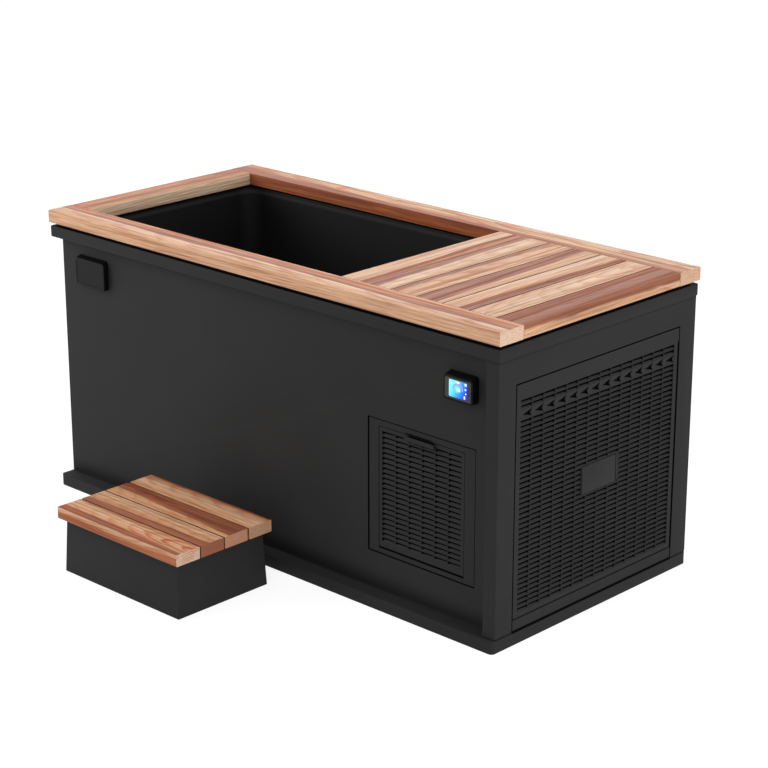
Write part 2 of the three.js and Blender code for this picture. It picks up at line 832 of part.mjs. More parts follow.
const centredRect = (cx, cy, width, height, radius) =>
  roundedRect(cx - width / 2, cx + width / 2, cy - height / 2, cy + height / 2, radius);

// A moulded housing on the front wall: its top slopes up to the wall, and its front edge is eased.
function housing(cx, cy, width, height, proud) {
  const level = (inset, rise, out) => ring({
    x0: cx - width / 2 + inset,
    x1: cx + width / 2 - inset,
    y0: cy - height / 2 + inset,
    y1: cy + height / 2 - inset + rise,
    radius: housingCorner - inset,
  }, out).map(([x, up, forward]) => [x, recessFace - forward, up]);
  return loft([level(0, housingSlope, seat), level(0, 0, proud - housingEdge),
    level(0.3 * housingEdge, 0, proud - 0.3 * housingEdge), level(housingEdge, 0, proud)]);
}

// Display: housing with a boss through the wall, a grey bezel and the glass, flush in its face.
function display(group) {
  const at = (width, height, radius) => centredRect(screenX, screenCentre, width, height, radius);
  const innerWidth = screenWidth - 2 * screenRim;
  const innerHeight = screenHeight - 2 * screenRim;
  const floor = screenProud - faceRecess;
  const body = housing(screenX, screenCentre, screenWidth, screenHeight, screenProud);
  const boss = solid(facingFront(prism(at(bossWidth, bossHeight, housingEdge), -2 * wall, screenProud / 2),
    recessFace));
  const dish = solid(facingFront(prism(at(innerWidth, innerHeight, housingCorner - screenRim), floor,
    screenProud + 1), recessFace));
  piece(group, 'screen_housing', body.add(boss).subtract(dish), blackPlastic);

  const bezel = at(innerWidth - 2 * seat, innerHeight - 2 * seat, housingCorner - screenRim - seat);
  const glassWidth = innerWidth - 2 * bezelSide;
  const glassHeight = innerHeight - 2 * bezelEdge;
  bezel.holes.push(at(glassWidth + 2 * seat, glassHeight + 2 * seat, housingEdge));
  piece(group, 'screen_bezel', solid(facingFront(prism(bezel, floor + seat, screenProud - seat), recessFace)),
    bezelGrey);
  const glass = prism(at(glassWidth, glassHeight, housingEdge), floor + seat, screenProud - 2 * seat);
  piece(group, 'screen_glass', solid(facingFront(glass, recessFace)), screenBlue);
}

// Blank plate with a shallow dish, like the display's housing.
function frontPlate(group) {
  const at = (inset, radius) => centredRect(plateX, plateCentre, plateWidth - 2 * inset,
    plateHeight - 2 * inset, radius);
  const body = housing(plateX, plateCentre, plateWidth, plateHeight, plateProud);
  const dish = solid(facingFront(prism(at(plateRim, housingEdge), plateProud - plateDish, plateProud + 1),
    recessFace));
  piece(group, 'front_badge', body.subtract(dish), blackPlastic);
}

// Louvres: slanted slats across the field, with ribs down it just in front of them, in a flat plate.
// Flat coordinates: x across, y up, height outwards from the plate's back.
function louvres(outline, field, rows, columns) {
  const { x0, x1, y0, y1 } = field;
  outline.holes.push(rectangle(x0, x1, y0, y1));
  const plate = solid(prism(outline, 0, louvrePlate));
  const front = louvrePlate - ribThickness - seat;
  const back = front - slatDepth;
  const section = [[front, 0], [front, slatThickness], [back, slatThickness + slatRise], [back, slatRise]];
  const slats = rows.map((y) => {
    const shape = polygon(section.map(([h, v]) => [h, v + y]));
    const length = x1 - x0 + 2 * louvreBite;
    const bar = prism(shape, 0, length).rotateY(-Math.PI / 2).translate(x1 + louvreBite, 0, 0);
    return solid(bar);
  });
  const pitch = (x1 - x0) / columns;
  const ribs = [];
  for (let i = 1; i < columns; i += 1) {
    const x = x0 + i * pitch;
    ribs.push(solid(box(x - ribWidth / 2, x + ribWidth / 2, y0 - louvreBite, y1 + louvreBite,
      louvrePlate - ribThickness, louvrePlate)));
  }
  return joined([plate, ...slats, ...ribs]);
}

// Lower edges of the slats, from the top row down, with one taller row for the fingers.
function slatRows(y0, y1, count, gripRow = 0, gripPitch = 1) {
  const pitch = (y1 - y0) / (count - 1 + gripPitch);
  const rows = [];
  let y = y1;
  for (let i = 1; i <= count; i += 1) {
    y -= i === gripRow ? gripPitch * pitch : pitch;
    rows.push(y);
  }
  return rows;
}

function doorFrameOutline(grow) {
  return centredRect(doorFrameX, doorFrameBottom + doorFrameHeight / 2, doorFrameWidth + 2 * grow,
    doorFrameHeight + 2 * grow, housingEdge);
}

// Filter door's frame: a face sunk in the wall, a back flange, a sleeve, stops and two hinge pins.
function doorFrame(group) {
  const half = doorWidth / 2 + doorGap;
  const z0 = doorBottom - doorHingeGap;
  const z1 = doorTop + doorGap;
  const sleeve = (grow) =>
    rectangle(doorFrameX - half - grow, doorFrameX + half + grow, z0 - grow, z1 + grow);
  const face = doorFrameOutline(0);
  face.holes.push(sleeve(0));
  const backing = doorFrameOutline(doorFrameGap + doorBacking);
  backing.holes.push(sleeve(0));
  const tube = sleeve(doorFrameWall);
  tube.holes.push(sleeve(0));
  const stop = sleeve(doorFrameWall / 2);
  stop.holes.push(rectangle(doorFrameX - half + doorStop, doorFrameX + half - doorStop,
    z0 + doorStop, z1 - doorStop));
  const stopBottom = doorBottom + 2 * doorRailHeight;
  const stopFront = doorFront - louvrePlate - seat;
  const backingFront = -wall - seat;
  const above = solid(facingFront(prism(rectangle(doorFrameX - 2 * half, doorFrameX + 2 * half,
    stopBottom, z1 + doorFrameWall), -doorFrameDepth, 0), recessFace));
  const parts = [
    solid(facingFront(prism(face, backingFront - doorBackingThickness / 2, -doorFrameSunk), recessFace)),
    solid(facingFront(prism(backing, backingFront - doorBackingThickness, backingFront), recessFace)),
    solid(facingFront(prism(tube, -doorFrameDepth, -doorFrameSunk - seat), recessFace)),
    solid(facingFront(prism(stop, stopFront - doorFrameWall, stopFront), recessFace)).intersect(above),
  ];
  const pinY = recessFace - doorHingeDepth();
  for (const side of [-1, 1]) {
    const outer = doorFrameX + side * (half + doorFrameWall / 2);
    const inner = doorFrameX + side * (half - doorGap - hingePinLength);
    const pin = rod(hingePinRadius, Math.min(inner, outer), Math.max(inner, outer), 12);
    parts.push(solid(facingEnd(pin).translate(0, pinY, hingeZ)));
  }
  piece(group, 'door_frame', joined(parts), shellPlastic);
}

// Hinge axis in front of the wall's face, in the middle of the door's bottom rail.
function doorHingeDepth() {
  return doorFront - doorRailDepth / 2;
}

// Filter door: a louvred plate with a thicker bottom rail that turns on the pins.
function filterDoor(group) {
  const x0 = doorFrameX - doorWidth / 2;
  const x1 = doorFrameX + doorWidth / 2;
  const field = {
    x0: x0 + doorSideMargin,
    x1: x1 - doorSideMargin,
    y0: doorBottom + doorBottomMargin,
    y1: doorTop - doorTopMargin,
  };
  const plateBack = doorFront - louvrePlate;
  const rows = slatRows(field.y0, field.y1, doorRows);
  const outline = roundedRect(x0, x1, doorBottom, doorTop, housingEdge);
  const grille = louvres(outline, field, rows, doorColumns);
  const rail = solid(prism(rectangle(x0, x1, doorBottom, doorBottom + doorRailHeight),
    louvrePlate - doorRailDepth, louvrePlate - housingEdge));
  const pinHeight = doorHingeDepth() - plateBack;
  const holes = [x0, x1].map((x) => {
    const reach = hingePinLength + doorGap;
    const hole = facingEnd(rod(hingePinRadius + seat, x - reach, x + reach, 12));
    return solid(hole.applyMatrix4(frontBasis.clone().invert()).translate(0, hingeZ, pinHeight));
  });
  const flat = cut(grille.add(rail), holes);
  const stand = new THREE.Group();
  stand.applyMatrix4(new THREE.Matrix4().makeTranslation(0, recessFace - plateBack, 0).multiply(frontBasis));
  piece(stand, 'filter_door', flat, shellPlastic);
  group.add(stand);

  const top = doorTop - pullFromTop;
  const hook = polygon([[0, 0], [pullReach, 0], [pullReach, pullHeight], [pullReach - pullGauge, pullHeight],
    [pullReach - pullGauge, pullGauge], [0, pullGauge]]);
  const pull = prism(hook, -pullWidth / 2, pullWidth / 2)
    .applyMatrix4(new THREE.Matrix4().makeBasis(axisY.clone().negate(), axisZ, axisX.clone().negate()))
    .translate(doorFrameX, recessFace - doorFront - seat, top - pullHeight);
  piece(group, 'door_pull', solid(pull), shellPlastic);
}

// End panel's frame: a flat ring behind the shell's end wall, with the sill under the panel.
function endFrame(group) {
  const half = endOpeningWidth / 2;
  const sillBottom = plinthHeight + sillGap;
  const sillTop = sillBottom + sillHeight;
  const flat = rectangle(-half - endFrameBand, half + endFrameBand, plinthHeight + seat,
    endOpeningTop + endFrameBand);
  flat.holes.push(rectangle(-half + endFrameBand, half - endFrameBand, sillTop + endFrameBand,
    endOpeningTop - endFrameBand));
  const sill = rectangle(-half + endPanelGap, half - endPanelGap, sillBottom, sillTop);
  const backX = bayEnd;
  const body = solid(facingEnd(prism(flat, 0, endFrameThickness), backX))
    .add(solid(facingEnd(prism(sill, 1, endFrameThickness + seat + louvrePlate), backX)));
  piece(group, 'end_panel_frame', body, shellPlastic);
}

// End panel: louvres over the whole equipment end, with a blank plate in the middle.
function endPanel(group) {
  const half = endOpeningWidth / 2 - endPanelGap;
  const y0 = plinthHeight + sillGap + sillHeight + endPanelGap;
  const y1 = endOpeningTop - endPanelGap;
  const field = {
    x0: -half + endSideMargin,
    x1: half - endSideMargin,
    y0: y0 + endBottomMargin,
    y1: y1 - endTopMargin,
  };
  const backX = faceRight - louvrePlate;
  const rows = slatRows(field.y0, field.y1, endRows, endGripRow, endGripPitch);
  const notch = box(half - endNotch, half + 1, y0 - 1, y1 - endNotchFromTop, -1, louvrePlate + 1);
  const grille = louvres(roundedRect(-half, half, y0, y1, housingEdge), field, rows, endColumns)
    .subtract(solid(notch));
  const stand = new THREE.Group();
  stand.applyMatrix4(new THREE.Matrix4().makeTranslation(backX, 0, 0).multiply(endBasis));
  piece(stand, 'end_panel', grille, shellPlastic);
  const centre = y0 + endPlateRise;
  const plate = bevelled(centredRect(0, centre, endPlateWidth, endPlateHeight, housingEdge),
    louvrePlate + seat, louvrePlate + seat + endPlateThickness, 1);
  piece(stand, 'end_panel_badge', solid(plate), shellPlastic);
  group.add(stand);
}

// Filter: canister with side ports, pleated cartridge and a lugged lid.
function filter(group) {
  const unit = new THREE.Group();
  unit.position.set(filterX, filterY, plinthHeight);
  const bore = canRadius - canWall;
  const can = turned([
    [0, seat], [canFootRadius, seat], [canFootRadius, canFootHeight],
    [canRadius, canFootHeight + canWall], [canRadius, canHeight - 2 * canRimHeight],
    [canRimRadius, canHeight - canRimHeight], [canRimRadius, canHeight],
    [bore, canHeight], [bore, canFloor], [0, canFloor],
  ]);
  const port = (from, to, height) => solid(facingEnd(rod(portRadius, from, to).translate(0, height, 0)));
  const root = canRadius - canWall / 2;
  const inlet = port(-canRadius - portLength, -root, filterInletHeight);
  const outlet = port(root, canRadius + portLength, pumpHeight);
  piece(unit, 'filter_housing', joined([solid(can), inlet, outlet]), whitePlastic);

  const capRadius = bore - cartridgeClearance;
  const pleats = ringOutline(capRadius - 1, capRadius - pleatDepth, pleatCount);
  const z0 = canFloor + seat;
  const z1 = canHeight - canRimHeight;
  const core = joined([
    solid(prism(pleats, z0 + cartridgeCap / 2, z1 - cartridgeCap / 2)),
    solid(rod(capRadius, z0, z0 + cartridgeCap, 24)),
    solid(rod(capRadius, z1 - cartridgeCap, z1, 24)),
  ]);
  const hole = solid(rod(cartridgeBore, z0 - 1, z1 + 1));
  piece(unit, 'filter_cartridge', core.subtract(hole), filterPaper);

  const lidBottom = canHeight + seat;
  const lidTop = lidBottom + lidThickness;
  const lidRadius = canRimRadius - lidLugDepth;
  const lid = turned([[0, lidBottom], [lidRadius, lidBottom], [lidRadius, lidTop],
    [lidRadius - lidDome, lidTop + lidDome / 2], [lidRadius / 2, lidTop + lidDome], [0, lidTop + lidDome]]);
  const lugs = Array.from({ length: lidLugs }, (_, i) =>
    solid(box(lidRadius - lidLugDepth, canRimRadius, -lidLugWidth / 2, lidLugWidth / 2, lidBottom, lidTop)
      .rotateZ((2 * Math.PI * i) / lidLugs)));
  const grip = solid(bevelled(centredRect(0, 0, lidGripLength, lidGripWidth, lidGripWidth / 2 - 1),
    lidTop, lidTop + lidDome + lidGripHeight, 2));
  piece(unit, 'filter_lid', joined([solid(lid), ...lugs, grip]), blackPlastic);
  group.add(unit);
}

// Pump: a volute with an upright outlet and a finned motor on a foot.
function pump(group) {
  const unit = new THREE.Group();
  unit.position.set(pumpX, filterY, pumpZ);
  const casing = turned([
    [0, -voluteInlet], [portRadius, -voluteInlet], [portRadius, 0], [voluteRadius * 0.8, 0],
    [voluteRadius, voluteWidth * 0.2], [voluteRadius, voluteWidth * 0.8],
    [voluteRadius * 0.9, voluteWidth], [0, voluteWidth],
  ]);
  const outlet = rod(outletRadius, 0, outletHeight).translate(voluteWidth / 2, outletOffset, 0);
  piece(unit, 'pump_volute', solid(facingEnd(casing)).add(solid(outlet)), blackPlastic);

  const start = voluteWidth + seat;
  const bellStart = start + pumpMotorLength - pumpBellLength;
  const fins = ringOutline(pumpMotorRadius, pumpMotorRadius - pumpFinDepth, pumpFins);
  const bell = turned([[0, bellStart - 1], [pumpMotorRadius - 1, bellStart - 1],
    [pumpMotorRadius - 1, bellStart + pumpBellLength * 0.7],
    [pumpMotorRadius * 0.8, bellStart + pumpBellLength], [0, bellStart + pumpBellLength]]);
  const footX = start + (pumpMotorLength - pumpFootLength) / 2;
  const foot = box(footX, footX + pumpFootLength, -pumpFootWidth / 2, pumpFootWidth / 2,
    -pumpHeight + seat, -pumpMotorRadius * 0.7);
  const terminal = box(footX, footX + pumpFootLength * 0.75, -pumpFootWidth / 4, pumpFootWidth / 4,
    pumpMotorRadius * 0.7, pumpMotorRadius * 1.4);
  const motor = [facingEnd(prism(fins, start, bellStart)), facingEnd(bell), foot, terminal];
  piece(unit, 'pump_motor', joined(motor.map(solid)), galvanised);
  group.add(unit);
}

// Condenser: a fin block with tube bends standing out of both its ends.
function condenser(group) {
  const y0 = coilY - coilWidth / 2;
  const y1 = coilY + coilWidth / 2;
  const z0 = coilZ - coilHeight / 2;
  const block = solid(box(coilX, coilX + coilDepth, y0, y1, z0, z0 + coilHeight));
  const bendRadius = coilDepth / 4;
  const bends = [];
  for (const [y, way] of [[y0, -1], [y1, 1]]) {
    for (let i = 0; i < coilLoops; i += 1) {
      const z = z0 + ((i + 0.5) * coilHeight) / coilLoops;
      const stations = [[-1, -1], [-1, 0], [0, 1], [1, 0], [1, -1]].map(([along, out]) =>
        new THREE.Vector3(coilX + coilDepth / 2 + along * bendRadius, y + way * out * bendRadius, z));
      bends.push(tube(stations, coilTube, lineSides));
    }
  }
  piece(group, 'condenser_coil', joined([block, ...bends]), aluminium);
}

// Fan: shroud with a venturi ring, twisted blades on a hub, and a motor on arms.
function fan(group) {
  const unit = new THREE.Group();
  unit.position.set(shroudX, coilY, coilZ);
  const ringRadius = fanRadius + fanTipClearance;
  const across = coilWidth / 2;
  const up = coilHeight / 2;
  const hollow = box(shroudGauge, shroudDepth + 1, -across + shroudGauge, across - shroudGauge,
    -up + shroudGauge, up - shroudGauge);
  const venturi = rod(ringRadius + shroudGauge, -shroudRing, 1, 32);
  const throat = rod(ringRadius, -shroudRing - 1, shroudGauge + 1, 32);
  const shroud = solid(box(0, shroudDepth, -across, across, -up, up))
    .add(solid(facingEnd(venturi)))
    .subtract(solid(hollow))
    .subtract(solid(facingEnd(throat)));
  piece(unit, 'fan_shroud', shroud, galvanised);

  const hub = turned([[0, -fanHubLength / 2], [fanHubRadius, -fanHubLength / 2],
    [fanHubRadius, fanHubLength / 3], [fanHubRadius * 0.8, fanHubLength / 2], [0, fanHubLength / 2]], 20);
  const bladeBite = fanHubRadius * 0.2;
  const span = fanRadius - fanHubRadius + bladeBite;
  const blades = Array.from({ length: fanBladeCount }, (_, n) => {
    const blade = new THREE.BoxGeometry(span, fanBladeChord, fanBladeGauge, 3, 2, 1);
    const spot = blade.attributes.position;
    for (let i = 0; i < spot.count; i += 1) {
      const along = spot.getX(i) / span + 0.5;
      const pitch = THREE.MathUtils.lerp(fanRootPitch, fanTipPitch, along);
      const chord = spot.getY(i) * THREE.MathUtils.lerp(0.6, 1, along);
      const camber = -0.12 * (chord * chord) / fanBladeChord;
      const lift = spot.getZ(i) + camber;
      const radius = fanHubRadius - bladeBite + along * span * (1 - 0.0004 * Math.abs(chord));
      spot.setXYZ(i, radius, chord * Math.cos(pitch) - lift * Math.sin(pitch),
        chord * Math.sin(pitch) + lift * Math.cos(pitch));
    }
    return solid(facingEnd(blade.rotateZ((2 * Math.PI * n) / fanBladeCount)));
  });
  const bore = solid(facingEnd(rod(fanShaftRadius + seat, -fanHubLength, fanHubLength)));
  piece(unit, 'fan_blades', joined([solid(facingEnd(hub)), ...blades]).subtract(bore), blackPlastic);

  const armBack = -shroudRing - fanArmGauge - fanArmClearance;
  const padRadius = ringRadius + shroudGauge + seat;
  const padReach = Math.min(across, up) - padRadius - 1;
  const motorBack = armBack - fanMotorLength;
  const body = turned([[0, motorBack], [fanMotorRadius * 0.8, motorBack], [fanMotorRadius, motorBack + 8],
    [fanMotorRadius, armBack + fanArmGauge], [0, armBack + fanArmGauge]], 20);
  const parts = [facingEnd(body), facingEnd(rod(fanShaftRadius, armBack, fanHubLength / 2 + 4))];
  for (let i = 0; i < fanArms; i += 1) {
    const turn = Math.PI / 4 + (2 * Math.PI * i) / fanArms;
    const arm = box(fanMotorRadius / 2, padRadius + padReach, -fanArmWidth / 2, fanArmWidth / 2,
      armBack, armBack + fanArmGauge);
    const pad = box(padRadius, padRadius + padReach, -fanArmWidth / 2, fanArmWidth / 2,
      armBack, -seat);
    parts.push(facingEnd(arm.rotateZ(turn)), facingEnd(pad.rotateZ(turn)));
  }
  piece(unit, 'fan_motor', joined(parts.map(solid)), galvanised);
  group.add(unit);
}

// Compressor: a domed shell on rubber feet with its suction accumulator alongside.
function compressor(group) {
  const unit = new THREE.Group();
  unit.position.set(compressorX, compressorY, trayTop + seat);
  const plateTop = compressorFootHeight + compressorPlate;
  const top = plateTop + compressorHeight;
  const shellBody = turned([[0, plateTop - 1], [compressorRadius * 0.8, plateTop - 1],
    [compressorRadius, plateTop + 16], [compressorRadius, top - 60], [compressorRadius * 0.9, top - 28],
    [compressorRadius * 0.55, top - 8], [lineRadius * 2, top - 4], [lineRadius * 2, top], [0, top]]);
  const footPlate = rod(compressorFootSpread + compressorFootRadius, compressorFootHeight, plateTop, 18);
  const feet = [0, 1, 2].map((i) => rod(compressorFootRadius, 0, compressorFootHeight + 1, 10)
    .translate(compressorFootSpread, 0, 0)
    .rotateZ(Math.PI / 6 + (2 * Math.PI * i) / 3));
  const low = plateTop + accumulatorBottom;
  const high = low + accumulatorHeight;
  const accumulator = turned([[0, low], [accumulatorRadius * 0.5, low], [accumulatorRadius, low + 16],
    [accumulatorRadius, high - 20], [accumulatorRadius * 0.5, high - 4], [0, high]], 12)
    .translate(accumulatorReach, 0, 0);
  const strap = box(compressorRadius * 0.8, accumulatorReach, -accumulatorRadius / 2, accumulatorRadius / 2,
    low + accumulatorHeight * 0.6, low + accumulatorHeight * 0.75);
  const elbow = facingEnd(rod(lineRadius + 2, compressorRadius * 0.8, accumulatorReach, 10))
    .translate(0, 0, low + 20);
  const parts = [shellBody, footPlate, ...feet, accumulator, strap, elbow];
  piece(unit, 'compressor', joined(parts.map(solid)), blackPlastic);
  group.add(unit);
}

// Heat exchanger: an upright barrel with end caps and side stubs for water and refrigerant.
function exchanger(group) {
  const unit = new THREE.Group();
  unit.position.set(exchangerX, exchangerY, trayTop + seat);
  const barrel = turned([[0, 0], [exchangerCap, 0], [exchangerCap, exchangerCapHeight],
    [exchangerRadius, exchangerCapHeight], [exchangerRadius, exchangerHeight - exchangerCapHeight],
    [exchangerCap, exchangerHeight - exchangerCapHeight], [exchangerCap, exchangerHeight - 8],
    [exchangerCap - 8, exchangerHeight], [0, exchangerHeight]]);
  const root = exchangerRadius / 2;
  const tip = exchangerCap + stubLength;
  const stubs = [
    facingEnd(rod(portRadius, root, tip).translate(0, exchangerInletHeight, 0)),
    facingFront(rod(portRadius, root, tip).translate(0, exchangerOutletHeight, 0)),
    facingEnd(rod(lineRadius + 2, root, tip, 10).translate(0, exchangerLiquidHeight, 0)),
    facingFront(rod(lineRadius + 2, root, tip, 10).translate(0, exchangerVapourHeight, 0)),
  ];
  piece(unit, 'heat_exchanger', joined([barrel, ...stubs].map(solid)), whitePlastic);
  group.add(unit);
}

// Chiller: a folded tray that carries the compressor, condenser, fan and heat exchanger.
function chiller(group) {
  const z0 = plinthHeight + seat;
  const pan = solid(box(trayX, trayX + trayLength, trayFront, trayBack, z0, z0 + trayUpstand))
    .subtract(solid(box(trayX + trayGauge, trayX + trayLength - trayGauge, trayFront + trayGauge,
      trayBack - trayGauge, trayTop, z0 + trayUpstand + 1)));
  piece(group, 'chiller_tray', pan, galvanised);
  compressor(group);
  condenser(group);
  fan(group);
  exchanger(group);

  const side = coilY - coilWidth / 2 - seat;
  const out = side - 2 * lineBend;
  const lineX = coilX + coilDepth / 2;
  const loopPitch = coilHeight / coilLoops;
  const coilTop = coilZ + coilHeight / 2;
  const upper = coilTop - loopPitch;
  const lower = coilTop - coilHeight + loopPitch;
  const liquidZ = trayTop + seat + exchangerLiquidHeight;
  const crossing = Math.max(compressorTop, coilTop, liquidZ) + 2 * lineBend;
  piece(group, 'discharge_line', bentLine([
    [compressorX, compressorY, compressorTop + 2 * seat],
    [compressorX, compressorY, crossing],
    [compressorX, out, crossing],
    [lineX, out, crossing],
    [lineX, out, upper],
    [lineX, side, upper],
  ]), copper);
  const stub = exchangerCap + stubLength + seat;
  const riserX = shroudX - shroudRing - fanMotorLength - 3 * lineBend;
  piece(group, 'liquid_line', bentLine([
    [lineX, side, lower],
    [lineX, out, lower],
    [riserX, out, lower],
    [riserX, out, liquidZ],
    [riserX, exchangerY, liquidZ],
    [exchangerX + stub, exchangerY, liquidZ],
  ]), copper);
  const vapourZ = trayTop + seat + exchangerVapourHeight;
  const accumulatorTop = trayTop + 2 * seat + compressorFootHeight + compressorPlate + accumulatorBottom
    + accumulatorHeight;
  const accumulatorX = compressorX + accumulatorReach;
  piece(group, 'suction_line', bentLine([
    [exchangerX, exchangerY - stub, vapourZ],
    [exchangerX, compressorY, vapourZ],
    [accumulatorX, compressorY, vapourZ],
    [accumulatorX, compressorY, accumulatorTop],
  ]), copper);
}

// Wall fitting: a grille inside the basin, a tube through the wall and bulkhead, and a nut.
function wallFitting(y, z) {
  const face = basinRight - seat;
  const nut = bulkheadFace + seat;
  const profile = [
    [0, face - fittingFlangeThickness], [fittingFlange * 0.8, face - fittingFlangeThickness],
    [fittingFlange, face - fittingFlangeThickness / 2], [fittingFlange, face], [fittingRadius, face],
    [fittingRadius, nut], [fittingNut, nut], [fittingNut, nut + fittingNutLength],
    [fittingRadius, nut + fittingNutLength], [fittingRadius, nut + fittingNutLength + fittingTail],
    [0, nut + fittingNutLength + fittingTail],
  ];
  const slotHalf = fittingFlange * 0.55;
  const slots = [-1, 0, 1].map((i) => {
    const across = i * fittingFlange * 0.36;
    const slot = box(face - 2 * fittingFlangeThickness, face - fittingFlangeThickness / 2,
      -slotHalf, slotHalf, across - 3, across + 3);
    return solid(slot.translate(0, y, z));
  });
  return cut(solid(facingEnd(turned(profile, 16).translate(y, z, 0))), slots);
}

// Water loop: fittings and hoses from the basin through filter, pump and exchanger and back.
function waterLoop(group) {
  filter(group);
  pump(group);
  piece(group, 'suction_fitting', wallFitting(filterY, suctionZ), blackPlastic);
  piece(group, 'return_fitting', wallFitting(returnAcross, returnHeight), blackPlastic);
  const tail = bulkheadFace + seat + fittingNutLength + fittingTail + seat;
  const canSide = canRadius + portLength + seat;
  piece(group, 'suction_hose', hose([
    [tail, filterY, suctionZ],
    [filterX - canSide, filterY, suctionZ],
  ]), rubberHose);
  piece(group, 'pump_feed_hose', hose([
    [filterX + canSide, filterY, pumpZ],
    [pumpX - voluteInlet - seat, filterY, pumpZ],
  ]), rubberHose);
  const stub = exchangerCap + stubLength + seat;
  const outX = pumpX + voluteWidth / 2;
  const outY = filterY + outletOffset;
  const outZ = pumpZ + outletHeight + seat;
  const inZ = trayTop + seat + exchangerInletHeight;
  const pastCompressor = compressorFootSpread + compressorFootRadius + 2 * hoseRadius;
  piece(group, 'exchanger_hose', hose([
    [outX, outY, outZ],
    [outX, outY, outZ + hoseLead],
    [outX - hoseRadius / 2, outY + 2 * hoseLead, outZ + hoseArch],
    [outX - hoseRadius, compressorY, outZ + hoseArch - hoseRadius],
    [outX - 1.5 * hoseRadius, compressorY + pastCompressor, outZ],
    [outX - 2.5 * hoseRadius, exchangerY - hoseRadius, inZ + hoseRadius / 2],
    [exchangerX + stub + hoseLead, exchangerY, inZ],
    [exchangerX + stub, exchangerY, inZ],
  ]), rubberHose);
  const outletZ = trayTop + seat + exchangerOutletHeight;
  piece(group, 'return_hose', hose([
    [exchangerX, exchangerY - stub, outletZ],
    [exchangerX, exchangerY - stub - hoseLead, outletZ],
    [exchangerX - hoseLead, returnAcross + 1.5 * hoseRadius, (outletZ + returnHeight) / 2],
    [tail + hoseLead, returnAcross, returnHeight],
    [tail, returnAcross, returnHeight],
  ]), rubberHose);
}

// Drain: a strainer in the basin's floor, a pipe through the bulkhead, and a lever valve.
function drain(group) {
  const flangeBottom = basinBottom + seat;
  const strainer = rod(drainFlange, flangeBottom, flangeBottom + drainFlangeThickness, 20);
  const drop = rod(drainRadius, drainHeight, flangeBottom + 1);
  const pipe = facingEnd(rod(drainRadius, drainX, valveX + drainOutlet).translate(drainY, drainHeight, 0));
  const corner = new THREE.SphereGeometry(drainRadius, 10, 6).translate(drainX, drainY, drainHeight);
  const ball = turned([[0, -valveRadius * 1.2], [valveRadius * 0.75, -valveRadius * 1.2],
    [valveRadius, -valveRadius * 0.5], [valveRadius, valveRadius * 0.5],
    [valveRadius * 0.75, valveRadius * 1.2], [0, valveRadius * 1.2]], 12)
    .translate(drainY, drainHeight, valveX);
  const collarLength = drainOutlet * 0.3;
  const collar = rod(drainRadius * 1.3, valveX + drainOutlet - collarLength, valveX + drainOutlet)
    .translate(drainY, drainHeight, 0);
  const stem = rod(stemRadius, drainHeight, drainHeight + stemTop, 12).translate(valveX, drainY, 0);
  const gland = rod(leverRadius, drainHeight, drainHeight + valveRadius + 6, 12).translate(valveX, drainY, 0);
  const parts = [strainer.translate(drainX, drainY, 0), drop.translate(drainX, drainY, 0), pipe, corner,
    facingEnd(ball), facingEnd(collar), stem, gland];
  piece(group, 'drain_valve', joined(parts.map(solid)), whitePlastic);

  const leverBottom = drainHeight + valveRadius + 6 + seat;
  const arm = bevelled(roundedRect(0, leverLength, -leverRadius / 2, leverRadius / 2, leverRadius / 2 - 1),
    leverBottom, leverBottom + leverGauge, 1);
  const eye = rod(leverRadius, leverBottom, leverBottom + leverGauge, 16);
  const hole = rod(stemRadius + seat, leverBottom - 1, leverBottom + leverGauge + 1, 12);
  const lever = joined([solid(arm), solid(eye)]).subtract(solid(hole));
  const unit = new THREE.Group();
  unit.position.set(valveX, drainY, 0);
  piece(unit, 'drain_lever', lever, redHandle);
  group.add(unit);
}

// Control box on the bulkhead with two cable glands, and the mains inlet in the back wall.
function electrics(group) {
  const back = bulkheadFace + seat;
  const z1 = controlBottom + controlHeight;
  const outline = roundedRect(controlAcross - controlWidth / 2, controlAcross + controlWidth / 2,
    controlBottom, z1, controlCorner);
  const boxBody = solid(facingEnd(bevelled(outline, 0, controlDepth, 3), back));
  const groove = roundedRect(controlAcross - controlWidth, controlAcross + controlWidth,
    controlBottom - controlWidth, z1 + controlWidth, controlCorner);
  groove.holes.push(roundedRect(controlAcross - controlWidth / 2 + 2, controlAcross + controlWidth / 2 - 2,
    controlBottom + 2, z1 - 2, controlCorner - 2));
  const seam = solid(facingEnd(prism(groove, controlDepth * 0.7, controlDepth * 0.7 + 3), back));
  const glands = [-1, 1].map((side) => {
    const gland = rod(glandRadius, controlBottom - glandLength, controlBottom + 4, 10);
    return solid(gland.translate(back + controlDepth / 3, controlAcross + side * controlWidth / 4, 0));
  });
  piece(group, 'control_box', joined([boxBody.subtract(seam), ...glands]), blackPlastic);

  const body = turned([[0, -inletDepth], [inletRadius, -inletDepth], [inletRadius, wall + seat],
    [inletFlange, wall + seat], [inletFlange, wall + inletFlangeThickness - 1],
    [inletFlange - 2, wall + inletFlangeThickness], [inletRadius * 0.7, wall + inletFlangeThickness],
    [inletRadius * 0.7, -inletDepth / 2], [0, -inletDepth / 2]], 20)
    .rotateX(-Math.PI / 2)
    .translate(inletX, bayBack, inletHeight);
  piece(group, 'power_inlet', solid(body), blackPlastic);
}

